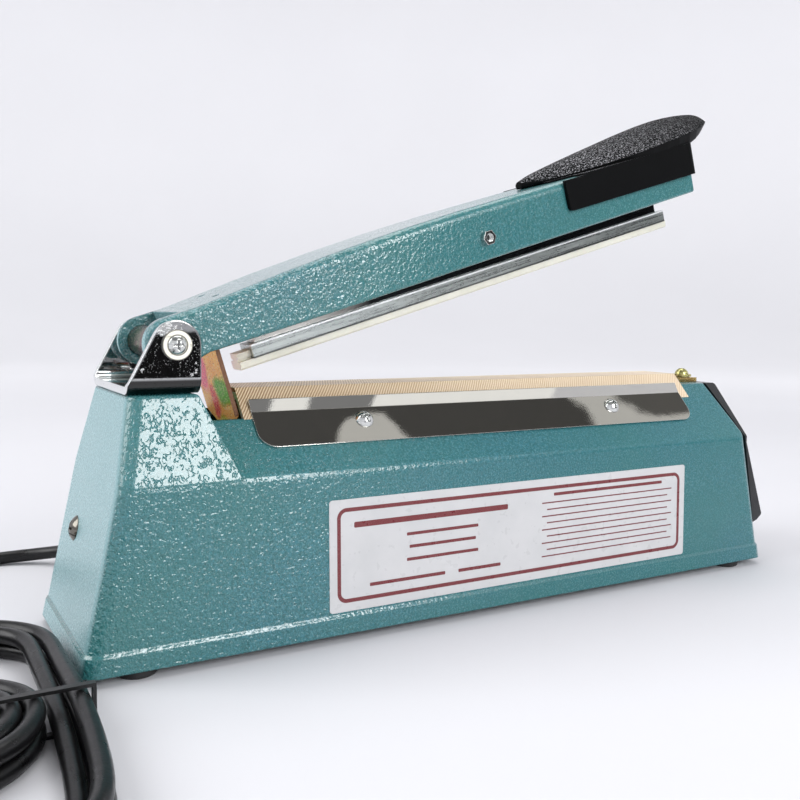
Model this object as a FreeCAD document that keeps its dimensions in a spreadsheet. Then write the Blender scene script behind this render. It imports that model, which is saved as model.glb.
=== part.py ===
import FreeCAD, Part
import math
import os

import Sketcher
from FreeCAD import Placement, Rotation, Vector

# Hand-operated impulse film sealer with a 200 mm seal.
# Lengths are millimetres.  Every sub-part is drawn in the body frame: X runs
# from the hinge end to the handle end, Y is across, Z is up from the bottom
# edge of the casting.  The pieces of the lever arm are drawn with the arm level
# and are turned up about the hinge pin by their placement.

doc = FreeCAD.newDocument("film_sealer")
sheet = doc.addObject("Spreadsheet::Sheet", "Params")


class Dim:
    """A driving number together with the expression that binds to it."""

    def __init__(self, num, expr):
        self.num, self.expr = float(num), expr

    def __add__(self, o):
        return Dim(self.num + N(o), "(%s + %s)" % (self.expr, E(o)))

    __radd__ = __add__

    def __sub__(self, o):
        return Dim(self.num - N(o), "(%s - %s)" % (self.expr, E(o)))

    def __rsub__(self, o):
        return Dim(N(o) - self.num, "(%s - %s)" % (E(o), self.expr))

    def __mul__(self, o):
        return Dim(self.num * N(o), "(%s * %s)" % (self.expr, E(o)))

    __rmul__ = __mul__

    def __truediv__(self, o):
        return Dim(self.num / N(o), "(%s / %s)" % (self.expr, E(o)))

    def __neg__(self):
        return Dim(-self.num, "(0 - %s)" % self.expr)


def N(v):
    return v.num if isinstance(v, Dim) else float(v)


def E(v):
    return v.expr if isinstance(v, Dim) else "(%.6f)" % float(v)


_row = [1]


def dim(alias, value, note):
    """One row of the sheet: note, number, alias."""
    r = _row[0]
    sheet.set("A%d" % r, note)
    sheet.set("B%d" % r, "%.6g" % value)
    sheet.setAlias("B%d" % r, alias)
    _row[0] += 1
    return Dim(value, "Params.%s" % alias)


# ---- driving dimensions -------------------------------------------------
bodyLength = dim("bodyLength", 310.0, "casting length at the bottom edge")
bodyWidth = dim("bodyWidth", 75.0, "casting width at the bottom edge")
creaseZ = dim("creaseZ", 57.9, "height of the crease where the flanks fold in")
creaseHalf = dim("creaseHalf", 35.8, "half width at the crease")
endDraft = dim("endDraft", 0.208, "lean of both end faces per millimetre of height")
wall = dim("wall", 3.0, "casting wall")
skirtHigh = dim("skirtHigh", 6.0, "height of the skirt")
skirtOut = dim("skirtOut", 0.7, "how far the skirt stands out")
towerTop = dim("towerTop", 85.7, "top of the hinge tower")
towerHalf = dim("towerHalf", 26.0, "half width of the tower top")
towerFoot = dim("towerFoot", -102.8, "foot of the tower on the ridge side")
towerHead = dim("towerHead", -114.6, "top edge of the tower on the ridge side")
ridgeTop = dim("ridgeTop", 84.2, "top of the sealing ridge")
ridgeSlope = dim("ridgeSlope", 1.069, "rise of the ridge flank per millimetre across")
ridgeApex = dim("ridgeApex", 96.27, "height where the two ridge flanks would meet")
notchLow = dim("notchLow", -110.5, "hinge side of the lever slot")
notchHigh = dim("notchHigh", -95.8, "handle side of the lever slot")
notchHalf = dim("notchHalf", 19.0, "half width of the lever slot")
landZ = dim("landZ", 81.3, "land for the terminal at the end of the ridge")
landX = dim("landX", 121.6, "start of that land")
pivotX = dim("pivotX", -121.5, "hinge pin, along the body")
pivotZ = dim("pivotZ", 101.8, "hinge pin, height")
earRadius = dim("earRadius", 8.0, "radius of the bracket ears")
bracketPlate = dim("bracketPlate", 2.6, "bracket plate thickness")
bracketHalf = dim("bracketHalf", 26.0, "half width over the bracket ears")
openAngle = dim("openAngle", 16.8, "angle of the level-drawn arm in its open stop")
armHalf = dim("armHalf", 21.0, "half width of the arm at the hinge")
armEndHalf = dim("armEndHalf", 18.6, "half width of the arm at its end")
armEnd = dim("armEnd", 129.0, "end of the arm")
armTop = dim("armTop", 117.8, "top of the arm at the handle")
armArc = dim("armArc", 1197.0, "radius of the arm's back")
armInner = dim("armInner", 16.4, "half width of the hollow in the arm")
earArm = dim("earArm", 8.9, "radius of the arm's ears")
tubeRadius = dim("tubeRadius", 5.5, "radius of the spacer tube on the hinge pin")
barLow = dim("barLow", -90.5, "hinge end of the press bar")
barHigh = dim("barHigh", 121.2, "handle end of the press bar")
barHalf = dim("barHalf", 5.6, "half width of the press bar")
barBottom = dim("barBottom", 86.3, "underside of the press bar")
barTop = dim("barTop", 91.4, "top of the press bar's channel")
stripLow = dim("stripLow", -95.8, "hinge end of the silicone strip")
stripHigh = dim("stripHigh", 122.5, "handle end of the silicone strip")
stripHalf = dim("stripHalf", 4.7, "half width of the silicone strip")
stripBottom = dim("stripBottom", 83.3, "underside of the silicone strip")
barPinX = dim("barPinX", 10.6, "cross pin of the press bar, along the arm")
barPinZ = dim("barPinZ", 104.7, "cross pin of the press bar, height")
sealLow = dim("sealLow", -96.5, "hinge end of the glass cloth")
sealHigh = dim("sealHigh", 121.2, "handle end of the glass cloth")
bedThick = dim("bedThick", 1.2, "insulating strip under the element")
plateLow = dim("plateLow", -93.4, "hinge end of the side plates")
plateHigh = dim("plateHigh", 115.6, "handle end of the side plates")
plateThick = dim("plateThick", 0.5, "side plate sheet")
kneeX = dim("kneeX", 144.3, "upright face of the end panel")
kneeZ = dim("kneeZ", 55.0, "height where the end panel's face kicks out")
toeX = dim("toeX", 157.4, "lowest edge of the end panel's face")
toeZ = dim("toeZ", 19.7, "height of that edge")
knobRadius = dim("knobRadius", 14.0, "timer knob radius")
knobHigh = dim("knobHigh", 13.5, "timer knob height")
footHigh = dim("footHigh", 3.0, "how far the feet stand below the casting")
footRadius = dim("footRadius", 6.5, "rubber foot radius")
cordRadius = dim("cordRadius", 2.75, "mains cord radius")
shiftX = dim("shiftX", -6.3, "moves the body frame so the part is centred on its origin")
liftZ = footHigh

plateW = 0.15  # label film thickness
TILT = math.atan2(N(toeX) - N(kneeX), N(kneeZ) - N(toeZ))  # lean of the knob face
FACE_N = Vector(math.cos(TILT), 0, math.sin(TILT))
FLANK = math.atan(N(ridgeSlope))  # flank angle from the horizontal
FLANK_N = Vector(0, -math.sin(FLANK), math.cos(FLANK))  # near flank normal

# ---- helpers ------------------------------------------------------------
_n = [0]


def uid(stem):
    _n[0] += 1
    return "%s_%d" % (stem, _n[0])


def bind(obj, prop, value):
    """Sets a property and binds it when it comes from the sheet."""
    if isinstance(value, Dim):
        obj.setExpression(prop, value.expr)


def new_body(label):
    body = doc.addObject("PartDesign::Body", uid("Body"))
    body.Label = label
    return body


def plane(body, role):
    for f in body.Origin.OriginFeatures:
        if f.Role == role:
            return f
    raise RuntimeError("no plane " + role)


def sketch(body, role, offset=0.0):
    """A sketch on one of the body's own origin planes, moved along its normal."""
    s = body.newObject("Sketcher::SketchObject", uid("Sketch"))
    s.AttachmentSupport = [(plane(body, role), "")]
    s.MapMode = "FlatFace"
    s.AttachmentOffset = Placement(Vector(0, 0, N(offset)), Rotation())
    bind(s, "AttachmentOffset.Base.z", offset)
    return s


def profile(s, pts, arcs=None):
    """A closed outline through pts.  arcs maps a side's number to (point on the arc, radius)."""
    arcs = arcs or {}
    base = len(s.Geometry)
    n = len(pts)
    v = [Vector(N(p[0]), N(p[1]), 0) for p in pts]
    for i in range(n):
        a, b = v[i], v[(i + 1) % n]
        if i in arcs:
            mid = Vector(arcs[i][0][0], arcs[i][0][1], 0)
            if (mid - a).cross(b - mid).z > 0:
                s.addGeometry(Part.Arc(a, mid, b))
            else:
                s.addGeometry(Part.Arc(b, mid, a))
        else:
            s.addGeometry(Part.LineSegment(a, b))
    ends = []
    for i in range(n):
        g = s.Geometry[base + i]
        start = g.StartPoint
        ends.append((1, 2) if start.distanceToPoint(v[i]) < 1e-6 else (2, 1))
    for i in range(n):
        j = (i + 1) % n
        s.addConstraint(Sketcher.Constraint("Coincident", base + i, ends[i][1], base + j, ends[j][0]))
    for i in range(n):
        for kind, val in (("DistanceX", pts[i][0]), ("DistanceY", pts[i][1])):
            c = s.addConstraint(Sketcher.Constraint(kind, -1, 1, base + i, ends[i][0], N(val)))
            bind(s, "Constraints[%d]" % c, val)
    for i, (_, r) in arcs.items():
        c = s.addConstraint(Sketcher.Constraint("Radius", base + i, N(r)))
        bind(s, "Constraints[%d]" % c, r)


def circle(s, x, y, r):
    g = s.addGeometry(Part.Circle(Vector(N(x), N(y), 0), Vector(0, 0, 1), N(r)))
    for kind, val in (("DistanceX", x), ("DistanceY", y)):
        c = s.addConstraint(Sketcher.Constraint(kind, -1, 1, g, 3, N(val)))
        bind(s, "Constraints[%d]" % c, val)
    c = s.addConstraint(Sketcher.Constraint("Radius", g, N(r)))
    bind(s, "Constraints[%d]" % c, r)


def rect(s, x0, x1, y0, y1):
    profile(s, [(x0, y0), (x1, y0), (x1, y1), (x0, y1)])


def extrude(body, kind, s, length, mid=False, reverse=False, through=False):
    f = body.newObject("PartDesign::" + kind, uid(kind))
    f.Profile = s
    if through:
        f.Type = "ThroughAll"
    f.Length = N(length)
    bind(f, "Length", length)
    if mid:
        if hasattr(f, "SideType"):
            f.SideType = "Symmetric"
        else:
            f.Midplane = True
    f.Reversed = reverse
    return f


def pad(body, s, length, mid=False, reverse=False):
    f = extrude(body, "Pad", s, length, mid, reverse)
    doc.recompute()
    if f.Shape.isNull() or "Invalid" in f.State or "Error" in f.State:
        raise RuntimeError("pad in %s failed: solver %s" % (body.Label, s.solve()))
    return f


def pocket(body, s, length, mid=False, reverse=False, through=False):
    """Cuts, and stops if nothing was removed."""
    before = body.Shape.Volume
    f = extrude(body, "Pocket", s, length, mid, reverse, through)
    doc.recompute()
    if body.Shape.isNull() or body.Shape.Volume > before - 1e-3:
        raise RuntimeError("%s in %s removed nothing" % (f.Name, body.Label))
    return f


def loft(body, sections, cut=False, ruled=True):
    before = body.Shape.Volume if body.Tip else 0.0
    f = body.newObject("PartDesign::SubtractiveLoft" if cut else "PartDesign::AdditiveLoft", uid("Loft"))
    f.Profile = sections[0]
    f.Sections = [(s, [""]) for s in sections[1:]]
    f.Ruled = ruled
    doc.recompute()
    if cut and body.Shape.Volume > before - 1e-3:
        raise RuntimeError("%s in %s removed nothing" % (f.Name, body.Label))
    return f


def edges_where(shape, test):
    """Names of the straight or curved edges whose middle and ends satisfy test."""
    names = []
    for i, e in enumerate(shape.Edges):
        a, b = e.Vertexes[0].Point, e.Vertexes[-1].Point
        m = e.valueAt((e.FirstParameter + e.LastParameter) / 2)
        if test(a, b, m):
            names.append("Edge%d" % (i + 1))
    return names


def fillet(body, radius, test, kind="Fillet"):
    """Rounds (or chamfers) the chosen edges of the body's tip."""
    base = body.Tip
    names = edges_where(base.Shape, test)
    if not names:
        print("no edge to round in", body.Label, N(radius))
        return None
    f = body.newObject("PartDesign::" + kind, uid(kind))
    f.Base = (base, names)
    prop = "Radius" if kind == "Fillet" else "Size"
    setattr(f, prop, N(radius))
    bind(f, prop, radius)
    doc.recompute()
    if "Invalid" in f.State or "Error" in f.State or f.Shape.isNull() or not f.Shape.isValid():
        print("left square:", body.Label, N(radius), len(names), "edges")
        doc.removeObject(f.Name)
        body.Tip = base
        doc.recompute()
        return None
    return f


def box(x0, x1, y0, y1, z0, z1):
    b = doc.addObject("Part::Box", uid("Box"))
    for prop, lo, hi in (("Length", x0, x1), ("Width", y0, y1), ("Height", z0, z1)):
        d = hi - lo if isinstance(hi, Dim) or isinstance(lo, Dim) else float(hi) - float(lo)
        setattr(b, prop, N(d))
        bind(b, prop, d)
    b.Placement = Placement(Vector(N(x0), N(y0), N(z0)), Rotation())
    for axis, val in (("x", x0), ("y", y0), ("z", z0)):
        bind(b, "Placement.Base." + axis, val)
    return b


def cyl(at, axis, r, h):
    c = doc.addObject("Part::Cylinder", uid("Cylinder"))
    c.Radius, c.Height = N(r), N(h)
    bind(c, "Radius", r)
    bind(c, "Height", h)
    c.Placement = Placement(Vector(*[N(v) for v in at]), Rotation(Vector(0, 0, 1), Vector(*axis)))
    for name, val in zip("xyz", at):
        bind(c, "Placement.Base." + name, val)
    return c


def cone(at, axis, r1, r2, h):
    c = doc.addObject("Part::Cone", uid("Cone"))
    c.Radius1, c.Radius2, c.Height = N(r1), N(r2), N(h)
    c.Placement = Placement(Vector(*[N(v) for v in at]), Rotation(Vector(0, 0, 1), Vector(*axis)))
    return c


def torus(at, axis, big, small):
    c = doc.addObject("Part::Torus", uid("Torus"))
    c.Radius1, c.Radius2 = N(big), N(small)
    c.Placement = Placement(Vector(*[N(v) for v in at]), Rotation(Vector(0, 0, 1), Vector(*axis)))
    return c


def fuse(*objs):
    if len(objs) == 1:
        return objs[0]
    f = doc.addObject("Part::MultiFuse", uid("Fuse"))
    f.Shapes = list(objs)
    return f


def cut(base, *tools):
    c = doc.addObject("Part::Cut", uid("Cut"))
    c.Base, c.Tool = base, fuse(*tools)
    return c


def common(a, b):
    c = doc.addObject("Part::MultiCommon", uid("Common"))
    c.Shapes = [a, b]
    return c


def group(*objs):
    g = doc.addObject("Part::Compound", uid("Group"))
    g.Links = list(objs)
    return g


def moved(obj, base, axis=(0, 0, 1), angle=0.0):
    obj.Placement = Placement(Vector(*[N(v) for v in base]), Rotation(Vector(*axis), angle))
    for name, val in zip("xyz", base):
        bind(obj, "Placement.Base." + name, val)
    return obj


def turned(obj, at, direction):
    """Moves a piece drawn on the Z axis to a point and direction."""
    obj.Placement = Placement(Vector(*[N(v) for v in at]), Rotation(Vector(0, 0, 1), Vector(direction)))
    for name, val in zip("xyz", at):
        bind(obj, "Placement.Base." + name, val)
    return obj


def screw(at, direction, head_r, head_h, shank_r, shank_l, slot=0.9, flat=False):
    """A cross-recessed screw: the head's seat is at the point, the head faces direction."""
    if flat:
        head = cyl((0, 0, 0), (0, 0, 1), head_r, head_h)
    else:
        ball_r = (head_r ** 2 + (head_h * 1.0) ** 2) / (2 * head_h)
        ball = doc.addObject("Part::Sphere", uid("Sphere"))
        ball.Radius = ball_r
        ball.Placement = Placement(Vector(0, 0, head_h - ball_r), Rotation())
        head = common(ball, cyl((0, 0, 0), (0, 0, 1), head_r, head_h))
    deep = head_h * 0.62
    arm = head_r * 0.55
    one = box(-arm, arm, -slot / 2, slot / 2, head_h - deep, head_h + 1)
    two = box(-slot / 2, slot / 2, -arm, arm, head_h - deep, head_h + 1)
    shank = cyl((0, 0, -shank_l), (0, 0, 1), shank_r, shank_l + 0.2)
    return turned(cut(fuse(head, shank), one, two), at, direction)


def hexnut(at, direction, across, high, bore):
    """A plain hexagon nut whose seat is at the point."""
    p = doc.addObject("Part::Prism", uid("Prism"))
    p.Polygon = 6
    p.Circumradius = across / math.sqrt(3)
    p.Height = high
    return turned(cut(p, cyl((0, 0, -1), (0, 0, 1), bore, high + 2)), at, direction)


parts = []


def part_of(obj, label, where):
    """Names a finished sub-part and gives it its placement."""
    if not obj.TypeId.startswith("PartDesign") and not obj.Placement.isIdentity():
        obj = group(obj)
    obj.Label = label
    parts.append((label, obj))
    if where == "base":
        obj.Placement = Placement(Vector(N(shiftX), 0, N(liftZ)), Rotation())
        bind(obj, "Placement.Base.x", shiftX)
        bind(obj, "Placement.Base.z", liftZ)
    elif where == "arm":
        a = math.radians(N(openAngle))
        px, pz = N(pivotX), N(pivotZ)
        bx = px - (px * math.cos(a) - pz * math.sin(a)) + N(shiftX)
        bz = pz - (px * math.sin(a) + pz * math.cos(a)) + N(liftZ)
        obj.Placement = Placement(Vector(bx, 0, bz), Rotation(Vector(0, -1, 0), N(openAngle)))
        obj.setExpression(
            "Placement.Base.x",
            "Params.pivotX - (Params.pivotX * cos(Params.openAngle) - Params.pivotZ * sin(Params.openAngle)) + Params.shiftX",
        )
        obj.setExpression(
            "Placement.Base.z",
            "Params.pivotZ - (Params.pivotX * sin(Params.openAngle) + Params.pivotZ * cos(Params.openAngle)) + Params.footHigh",
        )
        obj.setExpression("Placement.Rotation.Angle", "Params.openAngle")
    return obj


halfL, halfW = bodyLength / 2, bodyWidth / 2
sideDraft = (bodyWidth / 2 - creaseHalf) / creaseZ  # lean of the long walls


def endAt(z):
    """Where the knob-end face is at a height."""
    return halfL - endDraft * z


def flankZ(y):
    """Height of the ridge flank at a distance from the centre line."""
    return ridgeApex - ridgeSlope * y


# ---- housing ------------------------------------------------------------
housing = new_body("housing")


def ring(body, z, inset, x0=None, x1=None, half=None, corner=0.0):
    """A horizontal rectangle of the casting at a height, set in by inset."""
    s = sketch(body, "XY_Plane", z)
    lo = x0 if x0 is not None else -(endAt(z)) + inset
    hi = x1 if x1 is not None else endAt(z) - inset
    h = half if half is not None else (halfW - sideDraft * z) - inset
    if not corner:
        rect(s, lo, hi, -h, h)
        return s
    c = corner
    k = c * (1 - math.sqrt(0.5))
    L, H, W = N(lo), N(hi), N(h)
    profile(
        s,
        [(lo + c, -h), (hi - c, -h), (hi, -h + c), (hi, h - c), (hi - c, h), (lo + c, h), (lo, h - c), (lo, -h + c)],
        arcs={1: ((H - k, -W + k), c), 3: ((H - k, W - k), c), 5: ((L + k, W - k), c), 7: ((L + k, -W + k), c)},
    )
    return s


# lower block, hinge tower and sealing ridge
loft(housing, [ring(housing, 0.0, 0.0), ring(housing, creaseZ, 0.0)])
loft(
    housing,
    [
        ring(housing, creaseZ, 0.0, x1=towerFoot, half=creaseHalf),
        ring(housing, towerTop, 0.0, x1=towerHead, half=towerHalf),
    ],
)
s = sketch(housing, "YZ_Plane", -112.0)
rh = (ridgeApex - ridgeTop) / ridgeSlope
profile(s, [(-creaseHalf, creaseZ), (creaseHalf, creaseZ), (rh, ridgeTop), (-rh, ridgeTop)])
pad(housing, s, 260.0)
# the end face is one leaning plane from the skirt to the ridge
s = sketch(housing, "XZ_Plane", 0.0)
profile(s, [(endAt(creaseZ - 3), creaseZ - 3), (170.0, creaseZ - 3), (170.0, 95.0), (endAt(Dim(95.0, "95")), 95.0)])
pocket(housing, s, 100.0, mid=True)
# land for the terminal
s = sketch(housing, "XZ_Plane", 0.0)
rect(s, landX, 160.0, landZ, 95.0)
pocket(housing, s, 60.0, mid=True)

# edge rounding of the outside, before it is hollowed
X0, X1 = -N(halfL), N(halfL)
cz, tt = N(creaseZ), N(towerTop)


def near(a, b, tol=0.4):
    return abs(a - b) < tol


def is_corner(a, b, m):
    """The four leaning corners of the lower block."""
    return abs(a.z - b.z) > 40 and m.z < cz - 5 and abs(m.x) > 140


def is_tower_corner(a, b, m):
    return m.z > cz + 3 and abs(a.z - b.z) > 20 and m.x < -100 and abs(m.y) > 20


def is_crease(a, b, m):
    return near(a.z, cz) and near(b.z, cz) and near(abs(m.y), N(creaseHalf)) and abs(a.x - b.x) > 10


def is_tower_top(a, b, m):
    return near(a.z, tt) and near(b.z, tt)


fillet(housing, 5.0, lambda a, b, m: is_corner(a, b, m) or (is_tower_corner(a, b, m) and m.x < -125))
fillet(housing, 3.0, lambda a, b, m: is_crease(a, b, m) and m.x > -100)
fillet(housing, 3.0, lambda a, b, m: is_tower_corner(a, b, m) and m.x > -120)
fillet(housing, 1.6, is_tower_top)

# skirt round the bottom edge
loft(housing, [ring(housing, 0.0, -skirtOut, corner=5.7), ring(housing, skirtHigh, -skirtOut, corner=5.7)])
loft(housing, [ring(housing, skirtHigh, -skirtOut, corner=5.7), ring(housing, skirtHigh + 1.2, 0.03, corner=5.0)])

# hollow: lower block, tower and ridge
loft(
    housing,
    [ring(housing, -1.0, wall), ring(housing, creaseZ - 0.4, wall)],
    cut=True,
)
loft(
    housing,
    [
        ring(housing, creaseZ - 1.0, wall, x1=towerFoot - wall, half=creaseHalf - wall),
        ring(housing, towerTop - wall, wall, x1=towerHead - wall, half=towerHalf - wall),
    ],
    cut=True,
)
s = sketch(housing, "YZ_Plane", notchLow)
skin = wall / 0.683
innerTop = ridgeTop - 2.6
profile(
    s,
    [
        (-((ridgeApex - skin - creaseZ + 1.0) / ridgeSlope), creaseZ - 1.0),
        ((ridgeApex - skin - creaseZ + 1.0) / ridgeSlope, creaseZ - 1.0),
        ((ridgeApex - skin - innerTop) / ridgeSlope, innerTop),
        (-((ridgeApex - skin - innerTop) / ridgeSlope), innerTop),
    ],
)
pocket(housing, s, Dim(121.0, "121") - notchLow - 2.0, reverse=True)
s = sketch(housing, "YZ_Plane", 118.0)
lowTop = landZ - 2.6
profile(
    s,
    [
        (-((ridgeApex - skin - creaseZ + 1.0) / ridgeSlope), creaseZ - 1.0),
        ((ridgeApex - skin - creaseZ + 1.0) / ridgeSlope, creaseZ - 1.0),
        ((ridgeApex - skin - lowTop) / ridgeSlope, lowTop),
        (-((ridgeApex - skin - lowTop) / ridgeSlope), lowTop),
    ],
)
pocket(housing, s, 16.0, reverse=True)

# slot for the lever between tower and ridge
s = sketch(housing, "XY_Plane", 60.0)
rect(s, notchLow, notchHigh, -notchHalf, notchHalf)
pocket(housing, s, 40.0, reverse=True)
# opening behind the end panel
s = sketch(housing, "YZ_Plane", 132.0)
rect(s, -24.0, 24.0, 14.0, 60.0)
pocket(housing, s, 30.0, reverse=True)

# posts for the base plate screws
POSTS = [(-137.0, -30.4), (-137.0, 30.4), (137.0, -30.4), (137.0, 30.4)]
s = sketch(housing, "XY_Plane", 2.0)
for x, y in POSTS:
    circle(s, x, y, 4.6)
pad(housing, s, 24.0)
s = sketch(housing, "XY_Plane", 1.0)
for x, y in POSTS:
    circle(s, x, y, 1.65)
pocket(housing, s, 16.0, reverse=True)

# holes: bracket screws, cord, end screw, flank screws, terminal screw
BRACKET_SCREWS = [(-124.0, -11.0), (-124.0, 11.0)]
s = sketch(housing, "XY_Plane", towerTop + 1)
for x, y in BRACKET_SCREWS:
    circle(s, x, y, 1.7)
pocket(housing, s, 8.0)
CORD_X, CORD_Z = -125.4, 13.0
s = sketch(housing, "XZ_Plane", -45.0)
circle(s, CORD_X, CORD_Z, 4.6)
pocket(housing, s, 16.0, reverse=True)
s = sketch(housing, "XY_Plane", landZ + 1)
circle(s, 137.0, 0.0, 1.7)
pocket(housing, s, 8.0)


# ---- pieces fixed to the housing ---------------------------------------
# the holes that lean with their wall are drilled square to it
END_SCREW = Vector(-147.43, 11.3, 36.5)
END_N = Vector(-1, 0, N(endDraft)).normalize()
FLANK_SCREWS = [(-50.7, -1), (70.9, -1), (-50.7, 1), (70.9, 1)]
FS_Y = 21.4


def flank_point(x, side, out=0.0):
    n = Vector(0, side * math.sin(FLANK), math.cos(FLANK))
    return Vector(x, side * FS_Y, N(ridgeApex) - N(ridgeSlope) * FS_Y) + n * out, n


FACE = Vector(N(toeX) - (36.0 - N(toeZ)) * math.tan(TILT), 0, 36.0)
LAMP = Vector(N(kneeX), 0, 69.0)
PANEL_SCREWS = [FACE + Vector(0, y, 0) for y in (-27.0, 27.0)]
drills = [cyl(tuple(END_SCREW + END_N * 3), tuple(-END_N), 2.2, 10.0)]
drills.append(cyl(tuple(LAMP - Vector(9.0, 0, 0)), (1, 0, 0), 2.7, 12.0))
for p in PANEL_SCREWS:
    drills.append(cyl(tuple(p - FACE_N * 14), tuple(FACE_N), 1.6, 20.0))
for x, side in FLANK_SCREWS:
    p, n = flank_point(x, side, 2.0)
    drills.append(cyl(tuple(p), tuple(-n), 1.45, 9.0))
casting = cut(housing, *drills)
housing.Label = "casting_blank"
part_of(casting, "housing", "base")

# base plate, feet and their screws
bp = new_body("base_plate")
s = sketch(bp, "XY_Plane", 0.8)
rect(s, -(halfL - wall - 0.9), halfL - wall - 0.9, -(halfW - wall - 0.6), halfW - wall - 0.6)
pad(bp, s, 1.2)
fillet(bp, 3.0, lambda a, b, m: abs(a.z - b.z) > 1)
s = sketch(bp, "XY_Plane", 0.0)
for x, y in POSTS:
    circle(s, x, y, 1.8)
for x in (-38.0, 54.0):
    circle(s, x, 0.0, 2.1)
pocket(bp, s, 5.0, reverse=True)
s = sketch(bp, "XY_Plane", 0.0)
for k in range(6):
    x = 76.0 + 7.0 * k
    rect(s, x, x + 2.5, -14.0, 14.0)
pocket(bp, s, 5.0, reverse=True)
part_of(bp, "base_plate", "base")

feet = []
for x, y in POSTS:
    f = new_body(uid("foot"))
    s = sketch(f, "XY_Plane", -footHigh)
    circle(s, x, y, footRadius)
    pad(f, s, footHigh)
    fillet(f, 1.0, lambda a, b, m: near(m.z, -N(footHigh)))
    s = sketch(f, "XY_Plane", -0.3)
    circle(s, x, y, 4.0)
    pad(f, s, 1.1)
    s = sketch(f, "XY_Plane", -footHigh - 1)
    circle(s, x, y, 3.9)
    pocket(f, s, 3.2, reverse=True)
    s = sketch(f, "XY_Plane", -footHigh - 1)
    circle(s, x, y, 1.8)
    pocket(f, s, 8.0, reverse=True)
    feet.append(f)
part_of(group(*feet), "rubber_feet", "base")
part_of(
    group(*[screw((x, y, -0.8), (0, 0, -1), 3.4, 1.6, 1.6, 14.0) for x, y in POSTS]),
    "feet_screws",
    "base",
)

# hinge bracket: one bent plate with two ears
br = new_body("hinge_bracket")
lowX, highX = -137.3, pivotX + earRadius
ax, az_ = lowX - N(pivotX), (N(towerTop) + 3.2) - N(pivotZ)
dist = math.hypot(ax, az_)
ang = math.atan2(az_, ax) - math.acos(N(earRadius) / dist)
tx, tz = pivotX + earRadius * math.cos(ang), pivotZ + earRadius * math.sin(ang)
s = sketch(br, "XZ_Plane", 0.0)
profile(
    s,
    [
        (lowX, towerTop),
        (highX, towerTop),
        (highX, pivotZ),
        (tx, tz),
        (lowX, towerTop + 3.2),
    ],
    arcs={2: ((N(pivotX) + N(earRadius) * math.cos(math.radians(60)), N(pivotZ) + N(earRadius) * math.sin(math.radians(60))), earRadius)},
)
pad(br, s, bracketHalf * 2, mid=True)
bendOut = 5.4
bendIn = bendOut - N(bracketPlate)
bh, bi, bz0 = N(bracketHalf), N(bracketHalf) - N(bracketPlate), tt + N(bracketPlate)
q45 = math.sqrt(0.5)
s = sketch(br, "YZ_Plane", -150.0)
profile(
    s,
    [(-bi, 125.0), (-bi, bz0 + bendIn), (-bi + bendIn, bz0), (bi - bendIn, bz0), (bi, bz0 + bendIn), (bi, 125.0)],
    arcs={
        1: ((-bi + bendIn - bendIn * q45, bz0 + bendIn - bendIn * q45), bendIn),
        3: ((bi - bendIn + bendIn * q45, bz0 + bendIn - bendIn * q45), bendIn),
    },
)
pocket(br, s, 60.0, reverse=True)
for sgn in (-1, 1):
    s = sketch(br, "YZ_Plane", -150.0)
    profile(
        s,
        [
            (sgn * (bh - bendOut), tt),
            (sgn * (bh - bendOut), tt - 1.0),
            (sgn * (bh + 1.0), tt - 1.0),
            (sgn * (bh + 1.0), tt + bendOut),
            (sgn * bh, tt + bendOut),
        ],
        arcs={4: ((sgn * (bh - bendOut + bendOut * q45), tt + bendOut - bendOut * q45), bendOut)},
    )
    pocket(br, s, 60.0, reverse=True)
s = sketch(br, "XZ_Plane", 0.0)
circle(s, pivotX, pivotZ, 2.6)
pocket(br, s, 80.0, mid=True)
s = sketch(br, "XY_Plane", towerTop - 1)
for x, y in BRACKET_SCREWS:
    circle(s, x, y, 1.7)
pocket(br, s, 8.0, reverse=True)
part_of(br, "hinge_bracket", "base")
part_of(
    group(*[screw((x, y, towerTop + bracketPlate), (0, 0, 1), 3.2, 2.0, 1.6, 10.0) for x, y in BRACKET_SCREWS]),
    "bracket_screws",
    "base",
)

# spacer tube on the hinge, clamped by a screw and a ring from each side
earIn = bracketHalf - bracketPlate
part_of(
    cut(
        cyl((pivotX, -(earIn - 0.05), pivotZ), (0, 1, 0), tubeRadius, (earIn - 0.05) * 2),
        cyl((pivotX, -30.0, pivotZ), (0, 1, 0), 2.55, 60.0),
    ),
    "pivot_tube",
    "base",
)
part_of(
    group(
        *[
            cut(
                cyl((pivotX, side * N(bracketHalf), pivotZ), (0, side, 0), 4.95, 0.9),
                cyl((pivotX, side * (N(bracketHalf) - 1), pivotZ), (0, side, 0), 2.6, 3.0),
            )
            for side in (-1, 1)
        ]
    ),
    "pivot_washers",
    "base",
)
part_of(
    group(*[screw((pivotX, side * (N(bracketHalf) + 0.9), pivotZ), (0, side, 0), 3.2, 1.7, 2.5, 14.0) for side in (-1, 1)]),
    "pivot_screws",
    "base",
)
spY0, spY1 = N(armHalf) + 0.15, N(earIn) - 0.1
part_of(
    group(
        *[
            cut(
                cyl((pivotX, side * spY0, pivotZ), (0, side, 0), 7.2, spY1 - spY0),
                cyl((pivotX, side * (spY0 - 1), pivotZ), (0, side, 0), N(tubeRadius) + 0.05, 6.0),
            )
            for side in (-1, 1)
        ]
    ),
    "pivot_spacers",
    "base",
)

# pan-head screw in the hinge end face, with its nut inside
part_of(
    fuse(
        screw(tuple(END_SCREW), tuple(END_N), 4.5, 2.1, 2.0, 9.5),
    ),
    "end_screw",
    "base",
)

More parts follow.
